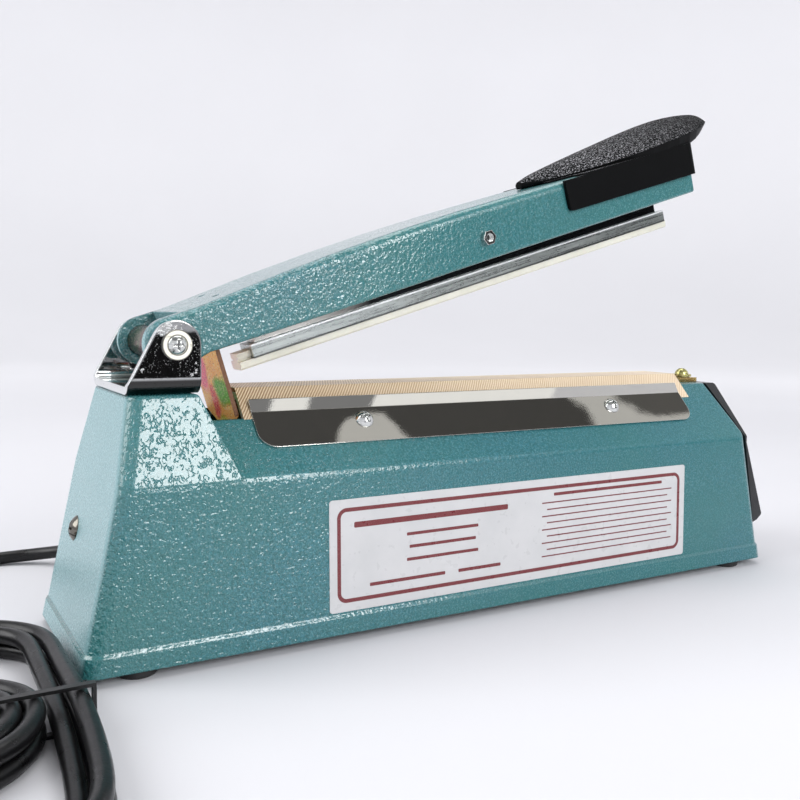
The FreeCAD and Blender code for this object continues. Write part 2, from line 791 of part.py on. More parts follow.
# sealing bed, glass tape, heating element
part_of(
    box(notchHigh + 0.3, landX + 6.0 - 6.2, -7.0, 7.0, ridgeTop, ridgeTop + bedThick),
    "sealing_bed",
    "base",
)
tapeZ = ridgeTop + bedThick
part_of(box(notchHigh + 0.3, landX - 0.2, -5.5, 5.5, tapeZ, tapeZ + 0.15), "bed_glass_tape", "base")
elZ = tapeZ + 0.15
el = new_body("heating_element")
s = sketch(el, "XZ_Plane", 0.0)
th = 0.2
profile(
    s,
    [
        (notchHigh - 0.05 - th, elZ - 5.2),
        (notchHigh - 0.05, elZ - 5.2),
        (notchHigh - 0.05, elZ),
        (landX + 0.2, elZ),
        (landX + 4.5, 83.5),
        (141.0, 83.5),
        (141.0, 83.7),
        (landX + 4.5 + 0.03, 83.7),
        (landX + 0.25, elZ + th),
        (notchHigh - 0.05 - th, elZ + th),
    ],
)
pad(el, s, 3.0, mid=True)
s = sketch(el, "XY_Plane", 82.0)
circle(s, 137.0, 0.0, 1.0)
pocket(el, s, 4.0, reverse=True)
part_of(el, "heating_element", "base")
part_of(
    group(
        box(notchHigh + 0.02, notchHigh + 6.0, -4.0, 4.0, 78.2, ridgeTop - 2.62),
    ),
    "element_anchor",
    "base",
)

# glass cloth folded over the ridge, one thin skin
cloth = new_body("ptfe_cloth")
ct = 0.16
off = 0.06


def cloth_pts(extra):
    """The cloth's line across the ridge, extra outside the bare surface."""
    top = N(elZ) + th + 0.04 + extra
    hh = 7.2 + extra
    k = extra / math.cos(FLANK)
    yl = 19.4
    ys = (N(ridgeApex) + k + 0.1 - top) / N(ridgeSlope)
    return yl, ys, top, k


yl, ys, top_i, k_i = cloth_pts(0.0)
_, ys_o, top_o, k_o = cloth_pts(ct)


def fz(y, k):
    return N(ridgeApex) + 0.1 + k - N(ridgeSlope) * y


s = sketch(cloth, "YZ_Plane", sealLow)
profile(
    s,
    [
        (-yl, fz(yl, 0)),
        (-ys, top_i),
        (ys, top_i),
        (yl, fz(yl, 0)),
        (yl, fz(yl, k_o)),
        (ys_o, top_o),
        (-ys_o, top_o),
        (-yl, fz(yl, k_o)),
    ],
)
pad(cloth, s, sealHigh - sealLow)
p1 = [flank_point(x, sd, 3.0) for x, sd in FLANK_SCREWS]
cl = cut(cloth, *[cyl(tuple(p), tuple(-n), 1.7, 6.0) for p, n in p1])
cloth.Label = "cloth_blank"
part_of(cl, "ptfe_cloth", "base")

# polished side plates: flat strip with a slightly lifted upper lip
plateIn = 0.1 + ct / math.cos(FLANK)


def side_plate(side, label):
    b = new_body(label + "_blank")
    s = sketch(b, "YZ_Plane", plateLow)
    t = N(plateThick)
    cf, sf = math.cos(FLANK), math.sin(FLANK)
    lift = 0.03

    def at(y, out):
        """A point on the flank at |y|, out along its normal."""
        z = N(ridgeApex) - N(ridgeSlope) * y + N(plateIn)
        return (side * (y + out * sf), z + out * cf)

    lip = 4.9
    la = math.radians(14)
    bx, bz = at(17.8, lift)
    ox, oz = at(17.8, lift + t)
    up = Vector(-side * math.cos(FLANK + la), math.sin(FLANK + la), 0)
    pts = [
        at(28.2, lift),
        (bx, bz),
        (bx + up.x * lip, bz + up.y * lip),
        (ox + up.x * lip, oz + up.y * lip),
        (ox, oz),
        at(28.2, lift + t),
    ]
    profile(s, pts)
    pad(b, s, plateHigh - plateLow)
    fillet(
        b,
        6.5,
        lambda a, c, m: near(abs(m.y), 28.3, 0.6) and abs(a.x - c.x) < 0.01 and a.distanceToPoint(c) < 0.6,
    )
    tools = []
    for x, sd in FLANK_SCREWS:
        if sd == side:
            p, n = flank_point(x, sd, 4.0)
            tools.append(cyl(tuple(p), tuple(-n), 1.6, 8.0))
    return part_of(cut(b, *tools), label, "base")


side_plate(-1, "side_plate_front")
side_plate(1, "side_plate_rear")
sp = []
for x, sd in FLANK_SCREWS:
    p, n = flank_point(x, sd, (N(plateIn) + 0.0) * math.cos(FLANK) + 0.05 + N(plateThick))
    sp.append(screw(tuple(p), tuple(n), 3.65, 2.5, 1.4, 7.0, slot=0.9))
part_of(group(*sp), "side_plate_screws", "base")

# terminal at the knob end
part_of(
    cut(
        box(landX + 0.4, 141.0, -6.0, 6.0, landZ, 83.4),
        cyl((137.0, 0.0, 80.0), (0, 0, 1), 1.7, 6.0),
    ),
    "terminal_block",
    "base",
)
part_of(
    cut(cyl((137.0, 0.0, 83.75), (0, 0, 1), 4.6, 1.0), cyl((137.0, 0.0, 83.0), (0, 0, 1), 1.7, 3.0)),
    "terminal_washer",
    "base",
)
part_of(screw((137.0, 0.0, 84.75), (0, 0, 1), 3.3, 2.9, 0.95, 8.0), "terminal_screw", "base")

# rating label on the near wall
lab = box(-71.8, 102.0, 0.0, plateW, 7.9, 47.9)
lb = doc.addObject("Part::Fillet", uid("Fillet"))
lb.Base = lab
doc.recompute()
lb.Edges = [
    (i + 1, 1.2, 1.2)
    for i, e in enumerate(lab.Shape.Edges)
    if abs(e.Vertexes[0].Point.y - e.Vertexes[-1].Point.y) > plateW / 2
]
sd_ang = math.degrees(math.atan(N(sideDraft)))
lg = group(lb)
lean = Rotation(Vector(1, 0, 0), -sd_ang)
lb.Placement = Placement(Vector(0, -N(halfW) - plateW - 0.02, 0), lean)
part_of(lg, "rating_label", "base")

# end panel: black moulding, upright above, kicked out below
ep = new_body("end_panel_blank")
s = sketch(ep, "XZ_Plane", 0.0)
profile(
    s,
    [
        (endAt(landZ), landZ),
        (kneeX, landZ),
        (kneeX, kneeZ),
        (toeX, toeZ),
        (toeX - 3.2, toeZ - 2.4),
        (endAt(Dim(16.4, "16.4")), 16.4),
    ],
)
pad(ep, s, 69.0, mid=True)
s = sketch(ep, "YZ_Plane", 130.0)
profile(s, [(-60.0, 40.0), (-(creaseHalf - 1.3), 40.0), (-(creaseHalf - 1.3), creaseZ), (-((ridgeApex - landZ) / ridgeSlope) , landZ), (-((ridgeApex - landZ) / ridgeSlope), 100.0), (-60.0, 100.0)])
pocket(ep, s, 60.0, reverse=True)
s = sketch(ep, "YZ_Plane", 130.0)
profile(s, [(60.0, 40.0), (creaseHalf - 1.3, 40.0), (creaseHalf - 1.3, creaseZ), ((ridgeApex - landZ) / ridgeSlope, landZ), ((ridgeApex - landZ) / ridgeSlope, 100.0), (60.0, 100.0)])
pocket(ep, s, 60.0, reverse=True)
# the part that sits in the casting's opening
s = sketch(ep, "XZ_Plane", 0.0)
profile(
    s,
    [
        (endAt(59.6) - 2.6, 59.6),
        (kneeX, 59.6),
        (kneeX, kneeZ),
        (toeX - 3.2, toeZ + 3.0),
        (endAt(16.6) + 0.5, 16.6),
        (endAt(16.6) - 2.6, 16.6),
    ],
)
pad(ep, s, 47.2, mid=True)
fillet(ep, 1.2, lambda a, b, m: near(m.x, N(toeX), 0.5) or (near(m.x, N(kneeX), 0.3) and near(m.z, N(landZ), 0.3)))
tools = [
    cyl(tuple(FACE - FACE_N * 20), tuple(FACE_N), 3.7, 30.0),
    cyl(tuple(FACE - FACE_N * 14.4), tuple(FACE_N), 9.0, 12.0),
    cyl(tuple(LAMP - Vector(6, 0, 0)), (1, 0, 0), 2.6, 10.0),
]
for p in PANEL_SCREWS:
    tools.append(cyl(tuple(p - FACE_N * 12), tuple(FACE_N), 1.6, 20.0))
part_of(cut(ep, *tools), "end_panel", "base")
part_of(
    group(*[screw(tuple(p), tuple(FACE_N), 2.8, 1.7, 1.5, 6.0) for p in PANEL_SCREWS]),
    "panel_screws",
    "base",
)
part_of(
    fuse(
        cyl(tuple(LAMP - Vector(4.5, 0, 0)), (1, 0, 0), 2.5, 5.0),
        common(
            cyl(tuple(LAMP), (1, 0, 0), 3.4, 3.0),
            moved(doc.addObject("Part::Sphere", uid("Sphere")), (N(kneeX) - 2.0, 0, 69.0)),
        ),
    ),
    "indicator_lamp",
    "base",
)

# potentiometer behind the panel, its shaft and the knob
part_of(
    fuse(
        cyl(tuple(FACE - FACE_N * 12.4), tuple(FACE_N), 8.0, 10.0),
        cut(
            cyl(tuple(FACE - FACE_N * 2.5), tuple(FACE_N), 3.6, 5.0),
            cyl(tuple(FACE - FACE_N * 3.5), tuple(FACE_N), 3.05, 8.0),
        ),
    ),
    "potentiometer",
    "base",
)
part_of(cyl(tuple(FACE - FACE_N * 2.1), tuple(FACE_N), 2.98, 11.8), "potentiometer_shaft", "base")
kn = new_body("timer_knob_blank")
s = sketch(kn, "XY_Plane", 0.0)
circle(s, 0.0, 0.0, knobRadius)
pad(kn, s, 2.5)
s = sketch(kn, "XY_Plane", 2.5)
circle(s, 0.0, 0.0, knobRadius - 2.0)
pad(kn, s, knobHigh - 2.5)
fillet(kn, 1.2, lambda a, b, m: near(m.z, N(knobHigh)))
s = sketch(kn, "XY_Plane", 4.0)
for i in range(18):
    a = 2 * math.pi * i / 18
    circle(s, 12.6 * math.cos(a), 12.6 * math.sin(a), 1.1)
pocket(kn, s, 20.0, reverse=True)
s = sketch(kn, "XY_Plane", -1.0)
circle(s, 0.0, 0.0, 4.2)
pocket(kn, s, 4.4, reverse=True)
s = sketch(kn, "XY_Plane", 0.0)
circle(s, 0.0, 0.0, 3.02)
pocket(kn, s, 10.2, reverse=True)
kg = turned(group(kn), tuple(FACE + FACE_N * 0.4), FACE_N)
part_of(group(kg), "timer_knob", "base")

# timer board tilted behind the potentiometer
back = FACE - FACE_N * 12.4
pcb = moved(group(box(-1.6, 0.0, -22.0, 22.0, -17.0, 17.0)), tuple(back), (0, 1, 0), -math.degrees(TILT))
part_of(group(pcb), "timer_board", "base")
comps = group(
    box(-1.6 - 15.0, -1.6, -20.0, -4.5, -6.0, 13.0),
    cyl((-1.6 - 12.0, 8.0, -8.0), (1, 0, 0), 4.0, 12.0),
    cyl((-1.6 - 11.0, 17.0, -8.0), (1, 0, 0), 3.1, 11.0),
    box(-1.6 - 5.5, -1.6, 2.0, 12.0, 3.0, 13.0),
    cyl((-1.6 - 3.2, -14.0, -12.0), (1, 0, 0), 2.2, 3.2),
    cyl((-1.6 - 3.2, -6.0, -12.0), (1, 0, 0), 2.2, 3.2),
)
moved(comps, tuple(back), (0, 1, 0), -math.degrees(TILT))
part_of(group(comps), "timer_components", "base")

# transformer: laminated core, coil, strap and its screws
tcx = 8.0
core = cut(
    box(tcx - 38, tcx + 38, -20.0, 20.0, 3.5, 65.5),
    box(tcx - 25.5, tcx - 12.5, -25.0, 25.0, 15.5, 53.0),
    box(tcx + 12.5, tcx + 25.5, -25.0, 25.0, 15.5, 53.0),
)
part_of(core, "transformer_core", "base")
part_of(
    cut(
        box(tcx - 24.5, tcx + 24.5, -28.5, 28.5, 16.0, 52.5),
        box(tcx - 12.55, tcx + 12.55, -20.1, 20.1, 10.0, 60.0),
    ),
    "transformer_coil",
    "base",
)
strap = fuse(
    box(tcx - 39.2, tcx + 39.2, -11.0, 11.0, 65.5, 66.7),
    box(tcx - 39.2, tcx - 38.0, -11.0, 11.0, 2.0, 66.0),
    box(tcx + 38.0, tcx + 39.2, -11.0, 11.0, 2.0, 66.0),
    box(tcx - 52.0, tcx - 38.5, -11.0, 11.0, 2.0, 3.2),
    box(tcx + 38.5, tcx + 52.0, -11.0, 11.0, 2.0, 3.2),
)
part_of(
    cut(strap, cyl((-38.0, 0.0, 0.0), (0, 0, 1), 2.1, 6.0), cyl((54.0, 0.0, 0.0), (0, 0, 1), 2.1, 6.0)),
    "transformer_frame",
    "base",
)
part_of(
    group(
        *[screw((x, 0.0, 0.8), (0, 0, -1), 3.4, 1.5, 2.0, 6.4) for x in (-38.0, 54.0)],
        *[hexnut((x, 0.0, 3.2), (0, 0, 1), 7.0, 3.0, 2.03) for x in (-38.0, 54.0)],
    ),
    "transformer_screws",
    "base",
)

# microswitch behind the lever, on a bracket held by the end screw
SWX = -108.6
SW_SCREWS = [(SWX - 3.4, 32.2), (SWX - 12.6, 52.6)]
sw = cut(
    box(SWX - 16.0, SWX, -5.0, 5.0, 28.6, 56.8),
    cyl((SWX - 4.5, 2.7, 54.2), (1, 0, 0), 1.48, 6.0),
    *[cyl((x, -7.0, z), (0, 1, 0), 1.55, 14.0) for x, z in SW_SCREWS],
)
part_of(sw, "microswitch", "base")
part_of(cyl((SWX - 2.6, 2.7, 54.2), (1, 0, 0), 1.4, 5.4), "microswitch_plunger", "base")
flange = moved(
    box(0.0, 1.2, 5.1, 18.0, -8.0, 8.0),
    tuple(END_SCREW + Vector(0, -11.3, 0) - END_N * 3.05),
    (0, 1, 0),
    math.degrees(math.atan(N(endDraft))),
)
web = fuse(
    box(-143.2, SWX - 0.5, 5.1, 6.3, 30.0, 41.0),
    box(-137.0, SWX - 0.5, 5.1, 6.3, 30.0, 56.0),
)
bracket_sw = cut(
    fuse(flange, web),
    cyl(tuple(END_SCREW + END_N * 5), tuple(-END_N), 2.1, 16.0),
    *[cyl((x, -7.0, z), (0, 1, 0), 1.3, 20.0) for x, z in SW_SCREWS],
)
part_of(bracket_sw, "switch_bracket", "base")
part_of(
    group(
        *[screw((x, -5.0, z), (0, -1, 0), 2.4, 1.4, 1.2, 12.6) for x, z in SW_SCREWS],
        hexnut(tuple(END_SCREW - END_N * 4.3), tuple(-END_N), 7.0, 3.0, 2.03),
    ),
    "switch_screws",
    "base",
)

# cord entry
gland_y = N(halfW) - N(sideDraft) * CORD_Z
GLAND_OUT = gland_y + 26.0
boot = fuse(
    cyl((CORD_X, gland_y - N(wall) - 1.8, CORD_Z), (0, 1, 0), 6.2, 1.5),
    cyl((CORD_X, gland_y - N(wall) - 0.7, CORD_Z), (0, 1, 0), 4.5, 4.2),
    cyl((CORD_X, gland_y + 0.22, CORD_Z), (0, 1, 0), 5.6, 1.88),
    cone((CORD_X, gland_y + 2.0, CORD_Z), (0, 1, 0), 5.0, 3.7, 24.0),
)
part_of(boot, "strain_relief", "base")


# ---- lever arm ----------------------------------------------------------
arm = new_body("arm_casting")


def backZ(x, down=0.0):
    """Height of the arm's back at x, for x short of the straight part."""
    return N(armTop) - N(armArc) + math.sqrt((N(armArc) - down) ** 2 - (x - 20.0) ** 2)


# ear: a rounded disc about the hinge, then the beam through its cross-sections
s = sketch(arm, "XZ_Plane", 0.0)
circle(s, pivotX, pivotZ, earArm)
pad(arm, s, armHalf * 2, mid=True)
fillet(arm, 2.8, lambda a, b, m: near(abs(m.y), N(armHalf), 0.05))
ARM = [
    (N(pivotX) + 0.3, N(pivotZ) - N(earArm) + 0.05, N(pivotZ) + N(earArm) - 0.02),
    (-109.5, 95.4, 110.95),
    (-98.0, 95.35, backZ(-98.0)),
    (-75.0, 95.3, backZ(-75.0)),
    (-50.0, 95.4, backZ(-50.0)),
    (-25.0, 95.7, backZ(-25.0)),
    (0.0, 96.0, backZ(0.0)),
    (24.0, 96.2, N(armTop)),
    (N(armEnd), 96.9, N(armTop)),
]


def armSide(x):
    """Half width of the arm at x: straight at the hinge, drawing in to its end."""
    if x <= -100.0:
        return armHalf + 0.0
    return armHalf - (armHalf - armEndHalf) * ((x + 100.0) / (N(armEnd) + 100.0))


secs = []
for x, z0, z1 in ARM:
    s = sketch(arm, "YZ_Plane", x)
    w, c, d = armSide(x), 3.6, 1.2
    kc, kd = c * (1 - math.sqrt(0.5)), d * (1 - math.sqrt(0.5))
    W = N(w)
    profile(
        s,
        [(-w + d, z0), (w - d, z0), (w, z0 + d), (w, z1 - c), (w - c, z1), (-w + c, z1), (-w, z1 - c), (-w, z0 + d)],
        arcs={
            1: ((W - kd, z0 + kd), d),
            3: ((W - kc, z1 - kc), c),
            5: ((-W + kc, z1 - kc), c),
            7: ((-W + kd, z0 + kd), d),
        },
    )
    secs.append(s)
loft(arm, secs)
fillet(arm, 2.0, lambda a, b, m: near(m.x, N(armEnd), 0.2) and abs(a.z - b.z) > 10)
# hollow, open underneath
s = sketch(arm, "XZ_Plane", 0.0)
profile(
    s,
    [
        (-111.0, 85.0),
        (armEnd - 3.2, 85.0),
        (armEnd - 3.2, armTop - 3.0),
        (20.0, armTop - 3.0),
        (-84.0, 107.4),
        (-111.0, 107.4),
    ],
)
pocket(arm, s, armInner * 2, mid=True)
# open between the ears
s = sketch(arm, "XZ_Plane", 0.0)
profile(s, [(-135.0, 85.0), (-110.9, 85.0), (-110.9, 104.0), (-114.5, 107.0), (-115.5, 115.0), (-135.0, 115.0)])
pocket(arm, s, armInner * 2, mid=True)
# bores: hinge tube, press bar pin
s = sketch(arm, "XZ_Plane", 0.0)
circle(s, pivotX, pivotZ, tubeRadius + 0.05)
circle(s, barPinX, barPinZ, 2.05)
pocket(arm, s, 60.0, mid=True)
HANDLE_SCREWS = [84.0, 112.0]
LEVER_SCREWS = [(-98.5, -8.0), (-98.5, 8.0)]
s = sketch(arm, "XY_Plane", 90.0)
for x in HANDLE_SCREWS:
    circle(s, x, 0.0, 1.75)
for x, y in LEVER_SCREWS:
    circle(s, x, y, 1.45)
pocket(arm, s, 40.0, reverse=True)
part_of(arm, "arm_casting", "arm")

# handle: leaf-shaped pad with a skirt that grips the arm
hd = new_body("handle_blank")
# x, half width, rim height, crest height, underside height, underside half width
SECT = [
    (46.5, 2.2, 119.4, 121.2, 118.1, 1.8),
    (53.0, 6.4, 119.3, 122.8, 118.0, 5.4),
    (64.0, 12.5, 119.3, 124.4, 117.95, 11.0),
    (78.0, 18.0, 119.7, 126.2, 117.95, 16.0),
    (96.0, 21.6, 120.6, 128.4, 117.95, 20.2),
    (114.0, 22.4, 121.8, 130.5, 117.95, 21.0),
    (130.0, 21.0, 123.0, 131.7, 118.2, 19.4),
    (142.0, 17.4, 124.2, 131.4, 121.0, 15.2),
    (151.0, 11.8, 125.4, 130.4, 123.7, 9.8),
    (158.0, 3.2, 126.6, 128.6, 126.0, 2.6),
]


def between(x):
    """The section at x, on a smooth line through the table's rows."""
    i = max(j for j in range(len(SECT) - 1) if SECT[j][0] <= x + 1e-9)
    a0, b0 = SECT[i], SECT[i + 1]
    pa = SECT[i - 1] if i > 0 else a0
    nb = SECT[i + 2] if i + 2 < len(SECT) else b0
    t = (x - a0[0]) / (b0[0] - a0[0])
    out = []
    for k in range(1, 6):
        w = b0[0] - a0[0]
        ma = (b0[k] - pa[k]) / (b0[0] - pa[0]) * w if i > 0 else b0[k] - a0[k]
        mb = (nb[k] - a0[k]) / (nb[0] - a0[0]) * w if i + 2 < len(SECT) else b0[k] - a0[k]
        h00, h10 = 2 * t ** 3 - 3 * t ** 2 + 1, t ** 3 - 2 * t ** 2 + t
        h01, h11 = -2 * t ** 3 + 3 * t ** 2, t ** 3 - t ** 2
        out.append(h00 * a0[k] + h10 * ma + h01 * b0[k] + h11 * mb)
    return [x] + out


secs = []
for x in (46.5, 49.5, 53.0, 58.0, 64.0, 71.0, 78.0, 87.0, 96.0, 105.0, 114.0, 122.0, 130.0, 136.5, 142.0, 147.0, 151.0, 155.0, 158.0):
    x, hw, zr, zc, zb, hb = between(x)
    s = sketch(hd, "YZ_Plane", x)
    h = zc - zr
    r = (hw * hw + h * h) / (2 * h)
    profile(s, [(-hw, zr), (hw, zr), (hb, zb), (-hb, zb)], arcs={0: ((0.0, zc), r)})
    secs.append(s)
loft(hd, secs)
# skirt
sk_b = box(54.0, 130.7, -21.2, 21.2, 105.0, 118.6)
sk_c = doc.addObject("Part::Fillet", uid("Fillet"))
sk_c.Base = sk_b
doc.recompute()
sk_c.Edges = [
    (i + 1, 3.0, 3.0)
    for i, e in enumerate(sk_b.Shape.Edges)
    if abs(e.Vertexes[0].Point.z - e.Vertexes[-1].Point.z) > 5 and e.Vertexes[0].Point.x > 100
] + [
    (i + 1, 2.0, 2.0)
    for i, e in enumerate(sk_b.Shape.Edges)
    if abs(e.Vertexes[0].Point.y - e.Vertexes[-1].Point.y) > 5
    and e.Vertexes[0].Point.x < 60
    and e.Vertexes[0].Point.z < 106
]
# the skirt's top leaves the arm bare beside the narrow end of the pad
bare = new_body("handle_bare")
for sgn in (-1, 1):
    s = sketch(bare, "XY_Plane", N(armTop) - 0.05)
    profile(s, [(52.0, sgn * 8.2), (58.0, sgn * 10.8), (64.0, sgn * 13.6), (66.0, sgn * 24.0), (52.0, sgn * 24.0)])
    pad(bare, s, 0.9)
inner = new_body("handle_room")
s = sketch(inner, "XY_Plane", 90.0)
profile(
    s,
    [
        (30.0, -19.66),
        (armEnd + 0.05, -(armEndHalf + 0.03)),
        (armEnd + 0.05, armEndHalf + 0.03),
        (30.0, 19.66),
    ],
)
pad(inner, s, armTop - 90.0)
h_all = cut(
    fuse(hd, cut(sk_c, bare)),
    inner,
    *[cyl((x, 0.0, 110.0), (0, 0, 1), 1.55, 15.5) for x in HANDLE_SCREWS],
)
part_of(h_all, "handle_grip", "arm")
part_of(
    group(*[screw((x, 0.0, armTop - 3.0), (0, 0, -1), 3.4, 2.0, 1.5, 9.8) for x in HANDLE_SCREWS]),
    "handle_screws",
    "arm",
)

# cross pin of the press bar: hexagon head near side, riveted far side
wallAt = N(armHalf) - (10.6 + 100.0) / (N(armEnd) + 110.0 - 0.0) * (N(armHalf) - N(armEndHalf) + 0.1)
pin = fuse(
    hexnut((barPinX, -(wallAt + 0.05), barPinZ), (0, -1, 0), 5.3, 2.1, 1.5),
    cyl((barPinX, -(wallAt + 0.95), barPinZ), (0, 1, 0), 2.0, 2 * wallAt + 1.0),
    cyl((barPinX, wallAt + 0.02, barPinZ), (0, 1, 0), 3.0, 1.2),
)
part_of(group(pin), "press_bar_pin", "arm")

# lever plate
lv = new_body("lever_plate_blank")
s = sketch(lv, "XZ_Plane", 0.0)
profile(
    s,
    [
        (-106.4, 51.6),
        (-104.9, 51.6),
        (-104.9, 105.9),
        (-92.0, 105.9),
        (-92.0, 107.4),
        (-106.4, 107.4),
    ],
)
pad(lv, s, 30.0, mid=True)
for sgn in (-1, 1):
    s = sketch(lv, "YZ_Plane", -115.0)
    profile(s, [(sgn * 5.5, 50.0), (sgn * 20.0, 50.0), (sgn * 20.0, 70.5), (sgn * 15.0, 70.5), (sgn * 5.5, 66.0)])
    pocket(lv, s, 30.0, reverse=True)
s = sketch(lv, "YZ_Plane", -115.0)
circle(s, 0.0, 57.6, 1.6)
pocket(lv, s, 15.0, reverse=True)
s = sketch(lv, "YZ_Plane", -115.0)
rect(s, -1.2, 1.2, 50.0, 54.0)
pocket(lv, s, 15.0, reverse=True)
s = sketch(lv, "XY_Plane", 100.0)
for x, y in LEVER_SCREWS:
    circle(s, x, y, 1.6)
pocket(lv, s, 15.0, reverse=True)
fillet(lv, 1.4, lambda a, b, m: near(m.x, -106.4, 0.2) and near(m.z, 107.4, 0.2))
part_of(lv, "lever_plate", "arm")
part_of(
    group(*[screw((x, y, 105.9), (0, 0, -1), 2.6, 1.6, 1.4, 4.6) for x, y in LEVER_SCREWS]),
    "lever_screws",
    "arm",
)

# return spring: close-wound tension spring from the lever to a post
a = math.radians(N(openAngle))


def arm_to_body(x, z):
    dx, dz = x - N(pivotX), z - N(pivotZ)
    return (
        N(pivotX) + dx * math.cos(a) - dz * math.sin(a),
        N(pivotZ) + dx * math.sin(a) + dz * math.cos(a),
    )


hx, hz = arm_to_body(-105.65, 55.0)
SPX = -44.0
s0, s1 = hx + 5.0, SPX - 6.5
spr = new_body("return_spring_blank")
s = sketch(spr, "XZ_Plane", 0.0)
n = 26
step = (s1 - s0) / n
pts = [(s0, hz + 2.2)]
for i in range(n):
    pts.append((s0 + step * (i + 0.5), hz + 3.4))
    pts.append((s0 + step * (i + 1), hz + 2.8))
pts[-1] = (s1, hz + 2.2)
profile(s, pts)
rv = spr.newObject("PartDesign::Revolution", uid("Revolution"))
rv.Profile = s
ax_line = None
for f in spr.Origin.OriginFeatures:
    if f.Role == "X_Axis":
        ax_line = f
# the coil turns about its own centre line, which is level with the lever's eye
cl_s = sketch(spr, "XZ_Plane", 0.0)
cl_s.addGeometry(Part.LineSegment(Vector(s0 - 5, hz, 0), Vector(s1 + 5, hz, 0)))
rv.ReferenceAxis = (cl_s, ["Edge1"])
rv.Angle = 360.0
doc.recompute()
hook_a = torus((hx, 0.0, hz), (0, 1, 0), 2.4, 0.5)
hook_b = torus((SPX, 0.0, hz), (0, 1, 0), 3.0, 0.5)
wires = fuse(
    spr,
    hook_a,
    hook_b,
    cyl((hx + 2.4, 0.0, hz), (1, 0, 0), 0.41, s0 - hx - 2.4 + 0.6),
    box(s0 + 0.1, s0 + 0.9, -0.45, 0.45, hz - 2.6, hz + 2.6),
    box(s1 - 0.9, s1 - 0.1, -0.45, 0.45, hz - 2.6, hz + 2.6),
    cyl((s1 - 0.6, 0.0, hz), (1, 0, 0), 0.41, SPX - 3.0 - s1 + 0.6),
)
part_of(wires, "return_spring", "base")
part_of(
    fuse(
        box(SPX + 0.0 - 2.5, SPX + 2.5, -2.0, 2.0, 72.0, 81.6),
        cyl((SPX, -4.0, hz), (0, 1, 0), 1.9, 8.0),
        box(SPX - 2.5, SPX + 2.5, 2.0, 4.0, hz - 3.0, 74.0),
        box(SPX - 2.5, SPX + 2.5, -4.0, -2.0, hz - 3.0, 74.0),
        box(SPX - 2.5, SPX + 2.5, -4.0, 4.0, 72.0, 76.0),
    ),
    "spring_post",
    "base",
)

# press bar: channel below, web above with the boss on the cross pin
pb = new_body("press_bar")
s = sketch(pb, "YZ_Plane", barLow)
tz0, tz1 = barBottom, barTop
profile(
    s,
    [
        (-barHalf, tz0),
        (-2.6, tz0),
        (-2.6, tz0 + 1.0),
        (-3.6, tz0 + 1.0),
        (-3.6, tz0 + 3.2),
        (3.6, tz0 + 3.2),
        (3.6, tz0 + 1.0),
        (2.6, tz0 + 1.0),
        (2.6, tz0),
        (barHalf, tz0),
        (barHalf, tz1),
        (-barHalf, tz1),
    ],
)
pad(pb, s, barHigh - barLow)
s = sketch(pb, "XZ_Plane", 0.0)
profile(
    s,
    [
        (-88.0, barTop - 0.5),
        (118.2, barTop - 0.5),
        (118.2, 99.5),
        (20.0, 100.0),
        (15.5, 108.5),
        (5.7, 108.5),
        (1.0, 100.0),
        (-88.0, 99.5),
    ],
)
pad(pb, s, 7.0, mid=True)
s = sketch(pb, "XZ_Plane", 0.0)
circle(s, barPinX, barPinZ, 2.06)
pocket(pb, s, 20.0, mid=True)
part_of(pb, "press_bar", "arm")

st = new_body("silicone_strip")
s = sketch(st, "YZ_Plane", stripLow)
profile(
    s,
    [
        (-(stripHalf - 0.7), stripBottom),
        (stripHalf - 0.7, stripBottom),
        (stripHalf, stripBottom + 0.7),
        (stripHalf, barBottom),
        (2.55, barBottom),
        (2.55, barBottom + 1.05),
        (3.5, barBottom + 1.05),
        (3.5, barBottom + 3.1),
        (-3.5, barBottom + 3.1),
        (-3.5, barBottom + 1.05),
        (-2.55, barBottom + 1.05),
        (-2.55, barBottom),
        (-stripHalf, barBottom),
        (-stripHalf, stripBottom + 0.7),
    ],
)
pad(st, s, stripHigh - stripLow)
part_of(st, "silicone_strip", "arm")

# ---- cord ---------------------------------------------------------------
# Points are in the part's own frame (after the shift and the lift).
R = N(cordRadius)
EX = Vector(CORD_X + N(shiftX), GLAND_OUT, CORD_Z + N(liftZ))
# the tied hank: turns with a straight right side, pinched on the left by the tie
ROW = 5.9  # from one strand to the next
HX, HY = -166.8, -64.0  # right outer strand, and the tie's place along it
R1, R2 = 28.0, 22.0  # end turns, and the bends down to the tie
WAIST = 3 * ROW + 0.2
PHI = math.acos(1 - (2 * R1 - WAIST) / (R1 + R2))
HL = (R1 + R2) * math.sin(PHI)
HCX = HX - R1
SKIN = R + 0.15
HANK_TOP = 12.4


def sheared(x, y):
    d = max(0.0, HY - y)
    return (x - 0.0016 * d * d, y)


def round_pts(cx, cy, r, a0, a1, n):
    return [
        sheared(cx + r * math.cos(a0 + (a1 - a0) * i / n), cy + r * math.sin(a0 + (a1 - a0) * i / n))
        for i in range(n + 1)
    ]


